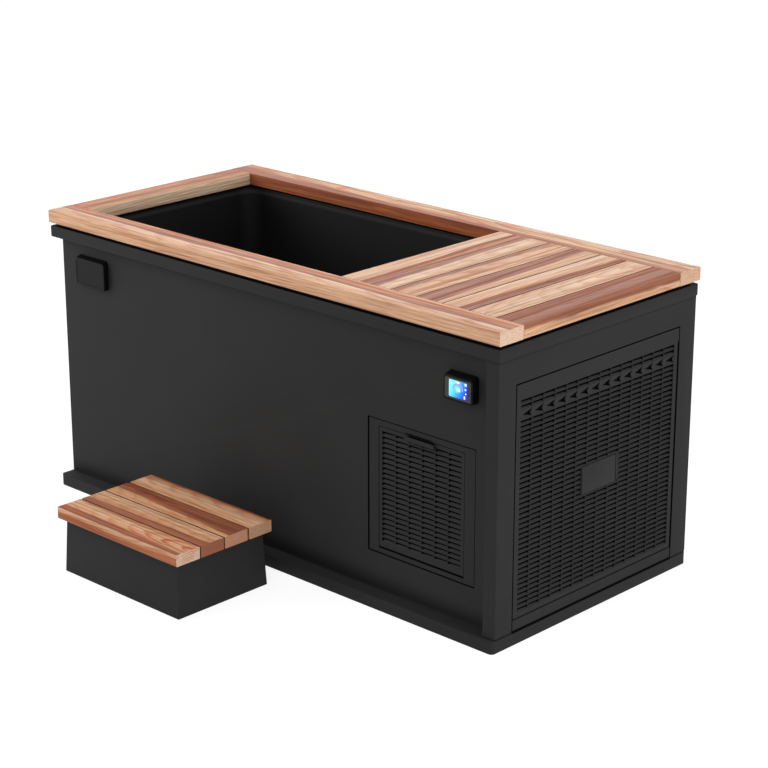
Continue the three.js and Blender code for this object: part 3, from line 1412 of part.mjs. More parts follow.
// Step: an open box with four treads screwed to two cleats inside it.
function step(group) {
  const treadDepth = stepBoardCount * stepBoardWidth + (stepBoardCount - 2) * stepGap + stepWideGap;
  const unit = new THREE.Group();
  unit.position.set(-stepFromMiddle, lipFront - stepClear - treadDepth / 2, 0);
  const halfX = stepLength / 2;
  const halfY = treadDepth / 2;
  const boxTop = stepTop - stepTread - seat;
  const boxX = halfX - stepOverhang;
  const boxY = halfY - stepOverhang;
  const level = (inset, z) =>
    ring({ x0: -boxX + inset, x1: boxX - inset, y0: -boxY + inset, y1: boxY - inset, radius: easedEdge }, z);
  const outside = loft([level(-stepDraft, 0), level(0, boxTop)]);
  const hollow = loft([level(stepWall - stepDraft, -1), level(stepWall, boxTop + 1)]);
  piece(unit, 'step_box', outside.subtract(hollow), shellPlastic);
  let y = -halfY;
  for (let i = 0; i < stepBoardCount; i += 1) {
    const tread = boardAlongX(-halfX, halfX, y, y + stepBoardWidth, stepTop - stepTread, stepTop);
    piece(unit, `step_tread_${i + 1}`, tread, cedar);
    y += stepBoardWidth + (i === stepBoardCount - 2 ? stepWideGap : stepGap);
  }
  for (const [name, side] of [['left', -1], ['right', 1]]) {
    const x = (side * stepCleatSpacing) / 2;
    const reach = boxY - stepWall - seat;
    const cleat = boardAlongY(x - stepCleatWidth / 2, x + stepCleatWidth / 2, -reach, reach,
      boxTop - stepCleatDepth, boxTop);
    piece(unit, `step_cleat_${name}`, cleat, cedar);
  }
  group.add(unit);
}

const tub = new THREE.Group();
plinth(tub);
outerShell(tub);
innerBasin(tub);
insulation(tub);
topSpacer(tub);
rimRails(tub);
deck(tub);
display(tub);
frontPlate(tub);
doorFrame(tub);
filterDoor(tub);
endFrame(tub);
endPanel(tub);
chiller(tub);
waterLoop(tub);
drain(tub);
electrics(tub);
step(tub);

export default tub;
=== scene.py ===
"""Looks of the cold plunge tub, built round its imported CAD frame. Metres, +Z up, the front is -Y."""

import json
import math
from collections import namedtuple

import bmesh
import bpy
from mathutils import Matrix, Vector

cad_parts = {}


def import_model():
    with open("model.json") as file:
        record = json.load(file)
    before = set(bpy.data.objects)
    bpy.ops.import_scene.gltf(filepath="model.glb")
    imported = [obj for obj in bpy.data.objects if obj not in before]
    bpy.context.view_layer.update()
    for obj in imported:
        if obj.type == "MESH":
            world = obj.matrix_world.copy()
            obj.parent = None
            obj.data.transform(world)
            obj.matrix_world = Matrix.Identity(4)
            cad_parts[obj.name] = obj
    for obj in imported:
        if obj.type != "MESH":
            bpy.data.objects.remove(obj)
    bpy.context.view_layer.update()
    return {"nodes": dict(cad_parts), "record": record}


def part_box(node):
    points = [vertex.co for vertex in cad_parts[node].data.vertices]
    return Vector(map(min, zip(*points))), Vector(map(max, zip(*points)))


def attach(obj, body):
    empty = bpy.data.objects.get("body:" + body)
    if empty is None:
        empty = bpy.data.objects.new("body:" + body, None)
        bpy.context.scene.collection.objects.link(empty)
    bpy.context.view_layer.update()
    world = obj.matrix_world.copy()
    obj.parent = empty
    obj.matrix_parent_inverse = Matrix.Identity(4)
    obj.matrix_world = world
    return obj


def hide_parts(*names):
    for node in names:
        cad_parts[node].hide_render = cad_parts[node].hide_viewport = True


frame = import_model()
nodes = frame["nodes"]

# Camera, fitted to the tub's edges in the photograph
CAMERA_PLACE = (4.1938, -4.2927, 2.4595)
CAMERA_AZIMUTH = 43.662  # degrees
CAMERA_ELEVATION = 18.72
CAMERA_LENS = 103.0  # millimetres
CAMERA_SENSOR = 36.0

# Lamps: name, place, target, size and power
LAMPS = (
    ("key", (-2.8, -2.4, 2.3), (-0.4, 0, 0.4), 1.8, 46),
    ("fill", (3.4, -0.4, 0.7), (0.6, 0, 0.3), 1.4, 22),
    ("top", (0.0, 0.6, 4.4), (0, 0, 0.6), 3.0, 66),
)
AMBIENT = 0.64
BACKDROP = 1.0

# Floor
FLOOR_REACH = 40.0
FLOOR_PAINT = (0.8, 0.8, 0.8, 1)
FLOOR_WHITE = 1.25  # strength at which the floor shows white beside its own paint
FLOOR_GLOW = 0.7  # share of that white in what is seen
FLOOR_SHUT_IN = 0.5  # walls nearer than this darken the floor between them
FLOOR_OPEN = (0.06, 0.26)  # how open the floor is where it is dark, and where it is white

# Louvres: sizes in metres, levels worked out from the CAD panels' own boxes
SLOT_RIB = 0.003  # between two slots of a row
BLADE_EDGE = 0.0014
PIT_DEPTH = 0.0018
BLADE_DEPTH = 0.0034  # slope of a blade's face
SLOT_DEPTH = 0.0098
DOOR_SLOT = (0.30, 0.52, 0.62)  # share of a row below the slot: in its wide end, beside it, at its narrow end
END_SLOT = (0.24, 0.40, 0.50)
SLOT_WIDE_END = 0.13  # share of a slot's length
COLUMN_LINES = 3  # upright lines in a column: its two edges, and where its slots' wide ends stop
PANEL_BACK = 0.0115
DOOR_COLUMNS = 6
DOOR_ROWS = 22
DOOR_MARGINS = (0.010, 0.010, 0.015, 0.0095)  # left, right, bottom, top
FINGER_SLOT = (0.0078, 0.0006)  # its lower and upper edge below the door's top, behind the pull
FINGER_COLUMNS = (3, 4)
END_COLUMNS = 14
END_ROWS = 41
END_MARGINS = (0.016, 0.019, 0.013, 0.041)
END_GRIP_ROW = 3  # counted from the top
END_GRIP_PITCH = 1.96
END_NOTCH = 0.004  # rear edge set back
END_NOTCH_FROM_TOP = 0.037
END_NOTCH_STEP = 0.00001  # between the two levels of the notch's corner
FORK_TAIL = 0.2  # a grip's hollow: shares of its column's width and of its row's height
FORK_INNER = 0.86
FORK_ARMS = 0.97
FORK_EDGE = 0.14

# Raised field round the end panel's blank plate
BADGE_SEAT = (0.002, 0.0144)  # plain panel in front of the blank plate and behind it
BADGE_LINE = 0.0072  # line of painted shade along the plate's rear edge
BADGE_LINE_LAP = 0.0001
SEAT_CORNER = 0.004
SEAT_TURNS = 5  # points round a corner
SEAT_LEVELS = ((0.0, 0.00004), (0.0, 0.00014), (0.0008, 0.00024))  # inset, and height over the louvres

# Painted shade where only the dark of a gap is seen, and a painted highlight on the basin's rim
GAP_EDGE = 0.0004  # keeps a limit off the face beside it
LIP_HEIGHT = 0.034
LIP_LINE = (0.003, 0.005, 0.36)  # faint line of painted shade below the lip: its drop, its reach and its strength
END_WAY = 0.01  # round the end panel
FOOT = (0.05, 0.02, 0.06)  # shadow in the recess: in from the right, in from the front, and its height
FOOT_STRENGTH = 0.62
SILL_TOP = 0.002  # below the end panel
SILL_EDGE = 0.0062  # painted shade on the edge under the end panel's sill, above the plinth
FRAME_FACE = 0.003  # depth of the door frame's face
FRAME_FLANGE = 0.0115  # door frame's back flange past its face
FRAME_LEFT_EDGE = 0.0016  # of its face
PULL_SHADE_PATCH = (0.004, 0.014, 0.001, 0.0055)  # patch of painted shade over the frame at the pull: past its left, short of its right, below and over the door top
PLINTH_EDGE = (0.003, 0.0016)  # past the end panel's sides, and down from the plinth's top
HOUSING_FACE = 0.0012  # depth of a housing's face
BASIN_DARK = 0.006  # painted shade down from the basin's top
BASIN_RIM = (0.0135, 0.0095, 1.0)  # painted highlight on the rolled rim: its drop, its reach and its strength

# Shading
SMOOTH_UP_TO = 34  # degrees
WELD_DISTANCE = 0.00002
SHELL_ROUGHNESS = 0.62
PANEL_ROUGHNESS = 0.58
BASIN_ROUGHNESS = 0.5
GLOSS_SPREAD = 0.06  # roughness either way
SHELL_GRAIN = (900.0, 0.25)  # scale and strength
BASIN_GRAIN = (500.0, 0.12)
BUMP_DISTANCE = 0.0004
PLASTIC_SPECULAR = 0.08
METAL_SPECULAR = 0.5
WOOD_SPECULAR = 0.3
WOOD_ROUGHNESS = (0.5, 0.68)
BAND_SOFTNESS = 0.035  # of a board's width
RINGS_PER_WIDTH = 12.0
SQUARE_ON = 0.8  # a face this squarely along an axis is a board's side or end
EASED_EDGE = 0.9  # and one less squarely along every axis is an eased edge
RING_STRENGTH = (0.22, 0.14)  # on a board's top and sides, and on its ends
STREAK_STRENGTH = (0.85, 0.20)
FIBRE_STRENGTH = 0.7
BLACK = (0, 0, 0, 1)
WHITE = (1, 1, 1, 1)


def tint(red, green, blue):
    """A colour written as 0 to 255 per channel, in linear light."""

    def linear(channel):
        share = channel / 255
        return share / 12.92 if share <= 0.04045 else ((share + 0.055) / 1.055) ** 2.4

    return (linear(red), linear(green), linear(blue), 1.0)


CHARCOAL = tint(46, 46, 46)
BADGE_GREY = tint(38, 38, 38)
BASIN_BLACK = tint(19, 19, 19)
# painted highlight on the basin's rolled rim
PAINTED_RIM_HIGHLIGHT = tint(46, 46, 46)
# near black: painted shade in gaps, on the lip's top, below the lip and at the recess's foot, and the black
# of the front badge's housing sides
PAINTED_SHADE_AND_HOUSING_BLACK = tint(7, 7, 7)


# Materials


def add(tree, kind, inputs=None, **settings):
    """A node with its settings, and its inputs linked to sockets or set to values."""
    node = tree.nodes.new(kind)
    for name, value in settings.items():
        setattr(node, name, value)
    for key, value in (inputs or {}).items():
        if isinstance(value, bpy.types.NodeSocket):
            tree.links.new(value, node.inputs[key])
        else:
            node.inputs[key].default_value = value
    return node


def calc(tree, operation, *values):
    node = add(tree, "ShaderNodeMath", dict(enumerate(values)), operation=operation)
    return node.outputs[0]


def empty_tree(owner):
    owner.use_nodes = True
    owner.node_tree.nodes.clear()
    return owner.node_tree


def blank_material(name):
    material = bpy.data.materials.new(name)
    tree = empty_tree(material)
    shader = tree.nodes.new("ShaderNodeBsdfPrincipled")
    output = tree.nodes.new("ShaderNodeOutputMaterial")
    tree.links.new(shader.outputs[0], output.inputs["Surface"])
    return material, tree, shader


def ramp(tree, factor, stops):
    node = add(tree, "ShaderNodeValToRGB", {"Fac": factor})
    elements = node.color_ramp.elements
    while len(elements) < len(stops):
        elements.new(1.0)
    for element, (place, colour) in zip(elements, stops):
        element.position = place
        element.color = colour
    return node.outputs["Color"]


def place_of(tree):
    return add(tree, "ShaderNodeTexCoord").outputs["Object"]


def noise(tree, vector, scale, detail=2.0, roughness=0.5):
    inputs = {"Vector": vector, "Scale": scale, "Detail": detail, "Roughness": roughness}
    return add(tree, "ShaderNodeTexNoise", inputs).outputs["Fac"]


def mix(tree, factor, first, second, blend="MIX"):
    inputs = {0: factor, 6: first, 7: second}
    return add(tree, "ShaderNodeMix", inputs, data_type="RGBA", blend_type=blend).outputs[2]


def bump(tree, shader, height, strength):
    inputs = {"Height": height, "Strength": strength, "Distance": BUMP_DISTANCE}
    tree.links.new(add(tree, "ShaderNodeBump", inputs).outputs[0], shader.inputs["Normal"])


def textured(name, colour, roughness, grain=SHELL_GRAIN[0], grain_strength=SHELL_GRAIN[1], mottle=0.12,
             metallic=0.0):
    """Moulded plastic or bare metal: a fine grain, slow mottling and uneven gloss."""
    material, tree, shader = blank_material(name)
    place = place_of(tree)
    slow = noise(tree, place, 5.0, 3.0)
    fine = noise(tree, place, grain, 2.0)
    dark = tuple(c * (1 - mottle) for c in colour[:3]) + (1.0,)
    light = tuple(min(1.0, c * (1 + mottle)) for c in colour[:3]) + (1.0,)
    both = calc(tree, "MULTIPLY_ADD", fine, 0.35, calc(tree, "MULTIPLY", slow, 0.65))
    tree.links.new(ramp(tree, both, [(0.3, dark), (0.7, light)]), shader.inputs["Base Color"])
    ends = {"Value": slow, "To Min": roughness - GLOSS_SPREAD, "To Max": roughness + GLOSS_SPREAD}
    gloss = add(tree, "ShaderNodeMapRange", ends)
    tree.links.new(gloss.outputs[0], shader.inputs["Roughness"])
    shader.inputs["Metallic"].default_value = metallic
    shader.inputs["Specular IOR Level"].default_value = METAL_SPECULAR if metallic else PLASTIC_SPECULAR
    bump(tree, shader, fine, grain_strength)
    return material


def shaded_within(name, colour, roughness, boxes, foot=None, bands=(), grain=SHELL_GRAIN):
    """The moulded plastic, painted near black within boxes: painted shade where only the dark of a gap is
    seen, and the black of the front badge's housing sides.

    foot is (x, y, bottom, top): left of x and behind y a painted shadow darkens the plastic softly from top
    down to bottom.
    bands are soft lines of painted shade and painted highlight all round, each with its level, its reach up
    and down, its strength and its colour.
    """
    material = textured(name, colour, roughness, *grain)
    tree = material.node_tree
    shader = next(node for node in tree.nodes if node.type == "BSDF_PRINCIPLED")
    lit = shader.inputs["Base Color"].links[0].from_socket
    axes = add(tree, "ShaderNodeSeparateXYZ", {0: place_of(tree)}).outputs
    for low, high in boxes:
        inside = 1.0
        for axis in range(3):
            middle, half = (low[axis] + high[axis]) / 2, (high[axis] - low[axis]) / 2
            off = calc(tree, "ABSOLUTE", calc(tree, "SUBTRACT", axes[axis], middle))
            inside = calc(tree, "MULTIPLY", inside, calc(tree, "LESS_THAN", off, half))
        lit = mix(tree, inside, lit, PAINTED_SHADE_AND_HOUSING_BLACK)
    if foot:
        x, y, bottom, top = foot
        ends = {"Value": axes[2], "From Min": bottom, "From Max": top, "To Min": FOOT_STRENGTH, "To Max": 0.0}
        rise = add(tree, "ShaderNodeMapRange", ends, interpolation_type="SMOOTHSTEP")
        left = calc(tree, "LESS_THAN", axes[0], x)
        behind = calc(tree, "MULTIPLY", left, calc(tree, "GREATER_THAN", axes[1], y))
        lit = mix(tree, calc(tree, "MULTIPLY", rise.outputs[0], behind), lit, PAINTED_SHADE_AND_HOUSING_BLACK)
    for level, reach, strength, shade in bands:
        off = calc(tree, "ABSOLUTE", calc(tree, "SUBTRACT", axes[2], level))
        ends = {"Value": off, "From Max": reach, "To Min": strength, "To Max": 0.0}
        line = add(tree, "ShaderNodeMapRange", ends)
        lit = mix(tree, line.outputs[0], lit, shade)
    tree.links.new(lit, shader.inputs["Base Color"])
    return material


def cedar(name, board, low, high):
    """A cedar board within its box: bands of pale and dark wood, rings round a tilted pith, and fibre."""
    material, tree, shader = blank_material(name)
    texture = add(tree, "ShaderNodeTexCoord").outputs
    axes = add(tree, "ShaderNodeSeparateXYZ", {0: texture["Object"]}).outputs
    normal = add(tree, "ShaderNodeSeparateXYZ", {0: texture["Normal"]}).outputs
    facing = [calc(tree, "ABSOLUTE", normal[axis]) for axis in range(3)]
    long_axis, cross_axis = (0, 1) if board.along == "X" else (1, 0)
    width = high[cross_axis] - low[cross_axis]
    length = calc(tree, "SUBTRACT", axes[long_axis], (low[long_axis] + high[long_axis]) / 2)
    across = calc(tree, "DIVIDE", calc(tree, "SUBTRACT", axes[cross_axis], low[cross_axis]), width)
    depth = calc(tree, "DIVIDE", calc(tree, "SUBTRACT", high.z, axes[2]), width)

    def stretched(long_scale, cross_scale):
        along = calc(tree, "MULTIPLY", calc(tree, "ADD", length, board.seed), long_scale)
        over = calc(tree, "MULTIPLY", across, cross_scale)
        down_in = calc(tree, "MULTIPLY", depth, cross_scale)
        return add(tree, "ShaderNodeCombineXYZ", {0: along, 1: over, 2: down_in}).outputs[0]

    sway = calc(tree, "SUBTRACT", noise(tree, stretched(2.2, 0.9), 1.0, 1.0), 0.5)
    wave = calc(tree, "SUBTRACT", noise(tree, stretched(6.0, 3.0), 1.0, 2.0), 0.5)
    streak = noise(tree, stretched(2.6, 11.0), 1.0, 5.0, 0.62)
    fibre = noise(tree, stretched(14.0, 46.0), 1.0, 3.0, 0.6)

    drift = calc(tree, "MULTIPLY_ADD", length, board.lean, across)
    drift = calc(tree, "MULTIPLY_ADD", sway, 0.42, calc(tree, "MULTIPLY_ADD", wave, 0.10, drift))
    total = sum(share for _, share in board.bands)
    stops = []
    reached = 0.0
    for colour, share in board.bands:
        soft = min(BAND_SOFTNESS, share / total * 0.25)
        stops.append((max(0.0, reached / total + soft), colour))
        reached += share
        stops.append((min(1.0, reached / total - soft), colour))
    wood = ramp(tree, drift, stops)
    down = calc(tree, "MULTIPLY_ADD", depth, width / (high.z - low.z), calc(tree, "MULTIPLY", wave, 0.5))
    flank = ramp(tree, down, [(0.36, board.sides[0]), (0.52, board.sides[1])])
    wood = mix(tree, calc(tree, "GREATER_THAN", facing[cross_axis], SQUARE_ON), wood, flank)
    end_face = calc(tree, "GREATER_THAN", facing[long_axis], SQUARE_ON)
    wood = mix(tree, end_face, wood, board.end)

    def strength(elsewhere, on_ends):
        return calc(tree, "MULTIPLY_ADD", end_face, on_ends - elsewhere, elsewhere)

    du = calc(tree, "MULTIPLY_ADD", sway, 0.6, calc(tree, "SUBTRACT", across, board.pith[0]))
    dv = calc(tree, "MULTIPLY_ADD", length, board.tilt, calc(tree, "SUBTRACT", depth, board.pith[1]))
    square = calc(tree, "MULTIPLY_ADD", du, du, calc(tree, "MULTIPLY", dv, dv))
    radius = calc(tree, "MULTIPLY_ADD", wave, 0.12, calc(tree, "SQRT", square))
    ring = calc(tree, "FRACT", calc(tree, "MULTIPLY", radius, RINGS_PER_WIDTH))
    late = ramp(tree, ring, [(0.0, BLACK), (0.5, (0.12, 0.12, 0.12, 1)), (0.86, WHITE), (1.0, BLACK)])
    ringed = calc(tree, "MULTIPLY", late, strength(*RING_STRENGTH))
    wood = mix(tree, ringed, wood, tint(188, 112, 78), "MULTIPLY")
    patch = ramp(tree, noise(tree, stretched(3.0, 2.0), 1.0, 2.0), [(0.46, BLACK), (0.62, WHITE)])
    flame = calc(tree, "MULTIPLY", calc(tree, "MULTIPLY", late, patch), board.flame)
    wood = mix(tree, flame, wood, tint(212, 106, 56))
    streaked = ramp(tree, streak, [(0.36, tint(190, 165, 151)), (0.56, WHITE)])
    wood = mix(tree, strength(*STREAK_STRENGTH), wood, streaked, "MULTIPLY")
    fibrous = ramp(tree, fibre, [(0.32, tint(214, 202, 194)), (0.62, WHITE)])
    wood = mix(tree, FIBRE_STRENGTH, wood, fibrous, "MULTIPLY")
    # a painted highlight on the eased edges, where no face looks squarely along an axis
    flat = calc(tree, "MAXIMUM", facing[0], calc(tree, "MAXIMUM", facing[1], facing[2]))
    eased_edge_highlight = calc(tree, "MULTIPLY", calc(tree, "LESS_THAN", flat, EASED_EDGE), 0.5)
    wood = mix(tree, eased_edge_highlight, wood, tint(244, 208, 178))
    tree.links.new(wood, shader.inputs["Base Color"])
    ends = {"Value": fibre, "To Min": WOOD_ROUGHNESS[0], "To Max": WOOD_ROUGHNESS[1]}
    gloss = add(tree, "ShaderNodeMapRange", ends)
    tree.links.new(gloss.outputs[0], shader.inputs["Roughness"])
    shader.inputs["Specular IOR Level"].default_value = WOOD_SPECULAR
    bump(tree, shader, calc(tree, "MULTIPLY_ADD", late, -0.4, fibre), 0.2)
    return material


def lit_screen(name, low, high):
    """A display: a cyan to blue glow with a plain dial, its pointer's hub and a few plain marks on it."""
    material, tree, shader = blank_material(name)
    axes = add(tree, "ShaderNodeSeparateXYZ", {0: place_of(tree)}).outputs
    width, height = high.x - low.x, high.z - low.z
    x = calc(tree, "DIVIDE", calc(tree, "SUBTRACT", axes[0], (low.x + high.x) / 2), width)
    z = calc(tree, "DIVIDE", calc(tree, "SUBTRACT", axes[2], (low.z + high.z) / 2), width)

    def mark(across, up, half_width, half_height):
        off_x = calc(tree, "DIVIDE", calc(tree, "ABSOLUTE", calc(tree, "SUBTRACT", x, across)), half_width)
        off_z = calc(tree, "DIVIDE", calc(tree, "ABSOLUTE", calc(tree, "SUBTRACT", z, up)), half_height)
        return calc(tree, "LESS_THAN", calc(tree, "MAXIMUM", off_x, off_z), 1.0)

    radius = calc(tree, "SQRT", calc(tree, "MULTIPLY_ADD", x, x, calc(tree, "MULTIPLY", z, z)))
    tilt = calc(tree, "MULTIPLY_ADD", calc(tree, "SUBTRACT", calc(tree, "MULTIPLY", z, 0.5), x), 0.9, 0.5)
    blues = [(0.05, tint(30, 52, 214)), (0.4, tint(52, 140, 250)), (0.9, tint(110, 226, 255))]
    glow = ramp(tree, tilt, blues)
    hub = ramp(tree, radius, [(0.05, WHITE), (0.2, BLACK)])
    glow = mix(tree, calc(tree, "MULTIPLY", hub, 0.55), glow, tint(150, 255, 235))
    on_ring = calc(tree, "LESS_THAN", calc(tree, "ABSOLUTE", calc(tree, "SUBTRACT", radius, 0.25)), 0.035)
    swept = calc(tree, "LESS_THAN", calc(tree, "ABSOLUTE", calc(tree, "ARCTAN2", x, z)), 1.75)
    glow = mix(tree, calc(tree, "MULTIPLY", on_ring, swept), glow, tint(158, 126, 255))
    top = height / width / 2
    marks = mark(0.03, -0.01, 0.085, 0.055)
    further_marks = (
        (-0.02, top - 0.07, 0.10, 0.035),
        (-0.36, top - 0.15, 0.04, 0.04),
        (0.43, top - 0.08, 0.05, 0.05),
        (0.42, 0.08, 0.035, 0.035),
        (0.44, -0.10, 0.03, 0.03),
        (0.37, 0.1 - top, 0.035, 0.065),
    )
    for place_and_size in further_marks:
        marks = calc(tree, "MAXIMUM", marks, mark(*place_and_size))
    glow = mix(tree, marks, glow, tint(250, 250, 255))
    tree.links.new(glow, shader.inputs["Base Color"])
    tree.links.new(glow, shader.inputs["Emission Color"])
    shader.inputs["Emission Strength"].default_value = 0.75
    shader.inputs["Roughness"].default_value = 0.2
    shader.inputs["Specular IOR Level"].default_value = 0.1
    return material


panel_plastic = textured("panel_plastic", CHARCOAL, PANEL_ROUGHNESS, 700.0)
# near black: painted shade for the dark seen through the open slots, on the louvres' dark faces
painted_slot_shade = textured("painted_slot_shade", tint(14, 14, 14), 0.8, 400.0, 0.1)
finishes = {
    "shell": textured("shell_plastic", CHARCOAL, SHELL_ROUGHNESS),
    "black_plastic": textured("black_plastic", tint(15, 15, 16), 0.45, 800.0, 0.15),
    "bezel": textured("bezel_plastic", tint(74, 72, 67), 0.4, 900.0, 0.1),
    "foam": textured("rigid_foam", tint(214, 203, 160), 0.9, 240.0, 0.5),
    "galvanised": textured("galvanised_steel", tint(166, 172, 176), 0.38, 60.0, 0.06, 0.18, 0.9),
    "aluminium": textured("aluminium_fin", tint(188, 192, 196), 0.36, 300.0, 0.2, 0.1, 0.9),
    "copper": textured("copper_tube", tint(196, 116, 72), 0.3, 120.0, 0.08, 0.14, 0.95),
    "hose": textured("rubber_hose", tint(34, 35, 37), 0.72, 600.0, 0.25),
    "white_plastic": textured("white_plastic", tint(222, 222, 216), 0.42, 500.0, 0.1, 0.04),
    "filter_media": textured("filter_media", tint(226, 230, 233), 0.85, 420.0, 0.5, 0.05),
    "red_plastic": textured("red_plastic", tint(168, 40, 32), 0.45, 500.0, 0.15),
}

CREAM = tint(239, 209, 182)
# paler than the wood's own colour: painted light on the left rail's inner side, which falls in shade
PALE = tint(255, 232, 200)
PEACH = tint(231, 192, 161)
TAN = tint(208, 164, 130)
SALMON = tint(208, 154, 124)
ORANGE = tint(208, 124, 82)
BROWN = tint(164, 104, 76)
MAUVE = tint(176, 130, 114)
RED_BROWN = tint(142, 78, 54)
SAND = tint(235, 190, 152)
AMBER = tint(222, 168, 124)
RUST = tint(192, 116, 72)
RUST_DARK = tint(158, 84, 46)
PAINTED_SHADE_BROWN = tint(62, 36, 26)  # painted shade on sides that are seen only in a gap

# A board: the axis it lies along, bands across its top from the low side with their lean per metre, colours
# down its sides, its ends' colour, the pith in board widths with its tilt per metre, how orange its rings
# are, and a seed
Board = namedtuple("Board", "along bands lean sides end pith tilt flame seed")
BOARDS = {
    "front_rail": Board("X", [(PEACH, 4), (CREAM, 1), (MAUVE, 2), (SALMON, 2), (ORANGE, 1), (PEACH, 1)], 0.08,
                        (SAND, SAND), CREAM, (0.4, 1.6), 0.5, 0.3, 1.0),
    "back_rail": Board("X", [(MAUVE, 3), (SALMON, 1), (PEACH, 3), (TAN, 1), (CREAM, 3)], 0.27,
                       (RUST_DARK, RUST), PEACH, (0.7, 1.4), 0.4, 0.5, 4.0),
    "left_rail": Board("Y", [(ORANGE, 1), (SALMON, 4), (MAUVE, 2), (TAN, 3)], 0.12,
                       (PALE, PALE), TAN, (0.3, 1.8), 0.6, 0.3, 8.0),
    "deck_board_1": Board("Y", [(PEACH, 3), (CREAM, 4), (BROWN, 2), (SALMON, 1)], 0.2,
                          (PEACH, TAN), PEACH, (1.2, 0.9), 0.7, 0.3, 12.0),
    "deck_board_2": Board("Y", [(MAUVE, 4), (CREAM, 4), (PEACH, 2)], 0.4,
                          (PAINTED_SHADE_BROWN, PAINTED_SHADE_BROWN), PEACH, (0.5, 1.0), 0.9, 0.2, 17.0),
    "deck_board_3": Board("Y", [(MAUVE, 2), (PEACH, 4), (SALMON, 1), (PEACH, 3)], 0.15,
                          (PAINTED_SHADE_BROWN, PAINTED_SHADE_BROWN), PEACH, (0.3, 1.6), 0.7, 0.4, 23.0),
    "deck_board_4": Board("Y", [(MAUVE, 3), (RED_BROWN, 1), (MAUVE, 2), (PEACH, 4)], 0.45,
                          (PAINTED_SHADE_BROWN, PAINTED_SHADE_BROWN), PEACH, (-0.2, 1.1), 0.8, 0.2, 29.0),
    "deck_board_5": Board("Y", [(CREAM, 2), (PEACH, 4), (BROWN, 2), (MAUVE, 1)], -0.45,
                          (PAINTED_SHADE_BROWN, PAINTED_SHADE_BROWN), PEACH, (0.9, 1.0), 0.9, 0.2, 31.0),
    "deck_board_6": Board("Y", [(PEACH, 3), (CREAM, 4), (PEACH, 3)], 0.1,
                          (PAINTED_SHADE_BROWN, PAINTED_SHADE_BROWN), PEACH, (0.5, 1.3), 0.9, 0.3, 37.0),
    "deck_board_7": Board("Y", [(BROWN, 3), (RED_BROWN, 1), (MAUVE, 3), (BROWN, 2)], 0.3,
                          (BROWN, SAND), PEACH, (0.2, 0.9), 0.9, 0.3, 41.0),
    "deck_batten_front": Board("X", [(TAN, 2), (PEACH, 2)], 0.1, (TAN, TAN), TAN, (0.2, 1.2), 0.6, 0.2, 43.0),
    "deck_batten_back": Board("X", [(TAN, 2), (SALMON, 2)], 0.1, (TAN, TAN), TAN, (0.8, 1.2), 0.6, 0.2, 47.0),
    "step_tread_1": Board("X", [(BROWN, 3), (AMBER, 2), (SAND, 4), (AMBER, 2)], 0.35,
                          (SAND, RUST), CREAM, (0.6, 0.9), 1.1, 1.0, 53.0),
    "step_tread_2": Board("X", [(BROWN, 4), (AMBER, 3), (SAND, 4)], -0.4,
                          (PAINTED_SHADE_BROWN, PAINTED_SHADE_BROWN), BROWN, (0.5, 1.1), 1.2, 0.4, 59.0),
    "step_tread_3": Board("X", [(AMBER, 3), (BROWN, 2), (RED_BROWN, 2), (BROWN, 2)], 0.5,
                          (PAINTED_SHADE_BROWN, PAINTED_SHADE_BROWN), SALMON, (0.4, 0.8), 1.2, 0.8, 61.0),
    "step_tread_4": Board("X", [(AMBER, 2), (SAND, 5), (AMBER, 2), (RED_BROWN, 1)], 0.2,
                          (BROWN, TAN), TAN, (0.7, 1.2), 0.9, 0.5, 67.0),
    "step_cleat_left": Board("Y", [(TAN, 2), (PEACH, 2)], 0.1, (TAN, TAN), TAN, (0.3, 1.2), 0.6, 0.2, 71.0),
    "step_cleat_right": Board("Y", [(TAN, 2), (SALMON, 2)], 0.1, (TAN, TAN), TAN, (0.7, 1.2), 0.6, 0.2, 73.0),
}


def dress(piece, material):
    piece.data.materials.clear()
    piece.data.materials.append(material)


def soft_shading():
    """Welds a carried-over solid's corners and shades its curved faces smoothly."""
    group = bpy.data.node_groups.new("soft_shading", "GeometryNodeTree")
    group.interface.new_socket("Geometry", in_out="INPUT", socket_type="NodeSocketGeometry")
    group.interface.new_socket("Geometry", in_out="OUTPUT", socket_type="NodeSocketGeometry")
    start = group.nodes.new("NodeGroupInput").outputs[0]
    weld = add(group, "GeometryNodeMergeByDistance", {"Geometry": start, "Distance": WELD_DISTANCE})
    faces = add(group, "GeometryNodeSetShadeSmooth", {"Geometry": weld.outputs[0], "Shade Smooth": True})
    angle = group.nodes.new("GeometryNodeInputMeshEdgeAngle")
    limits = {0: angle.outputs[0], 1: math.radians(SMOOTH_UP_TO)}
    sharp = add(group, "FunctionNodeCompare", limits, operation="GREATER_THAN")
    inputs = {"Geometry": faces.outputs[0], "Selection": sharp.outputs[0], "Shade Smooth": False}
    edges = add(group, "GeometryNodeSetShadeSmooth", inputs, domain="EDGE")
    end = group.nodes.new("NodeGroupOutput")
    group.links.new(edges.outputs[0], end.inputs[0])
    return group


def beyond(low, high, **limits):
    """A box a metre past a piece on every side but those given, such as from_z or to_x."""
    ends = {"from": [place - 1 for place in low], "to": [place + 1 for place in high]}
    for side, place in limits.items():
        end, axis = side.split("_")
        ends[end]["xyz".index(axis)] = place
    return ends["from"], ends["to"]


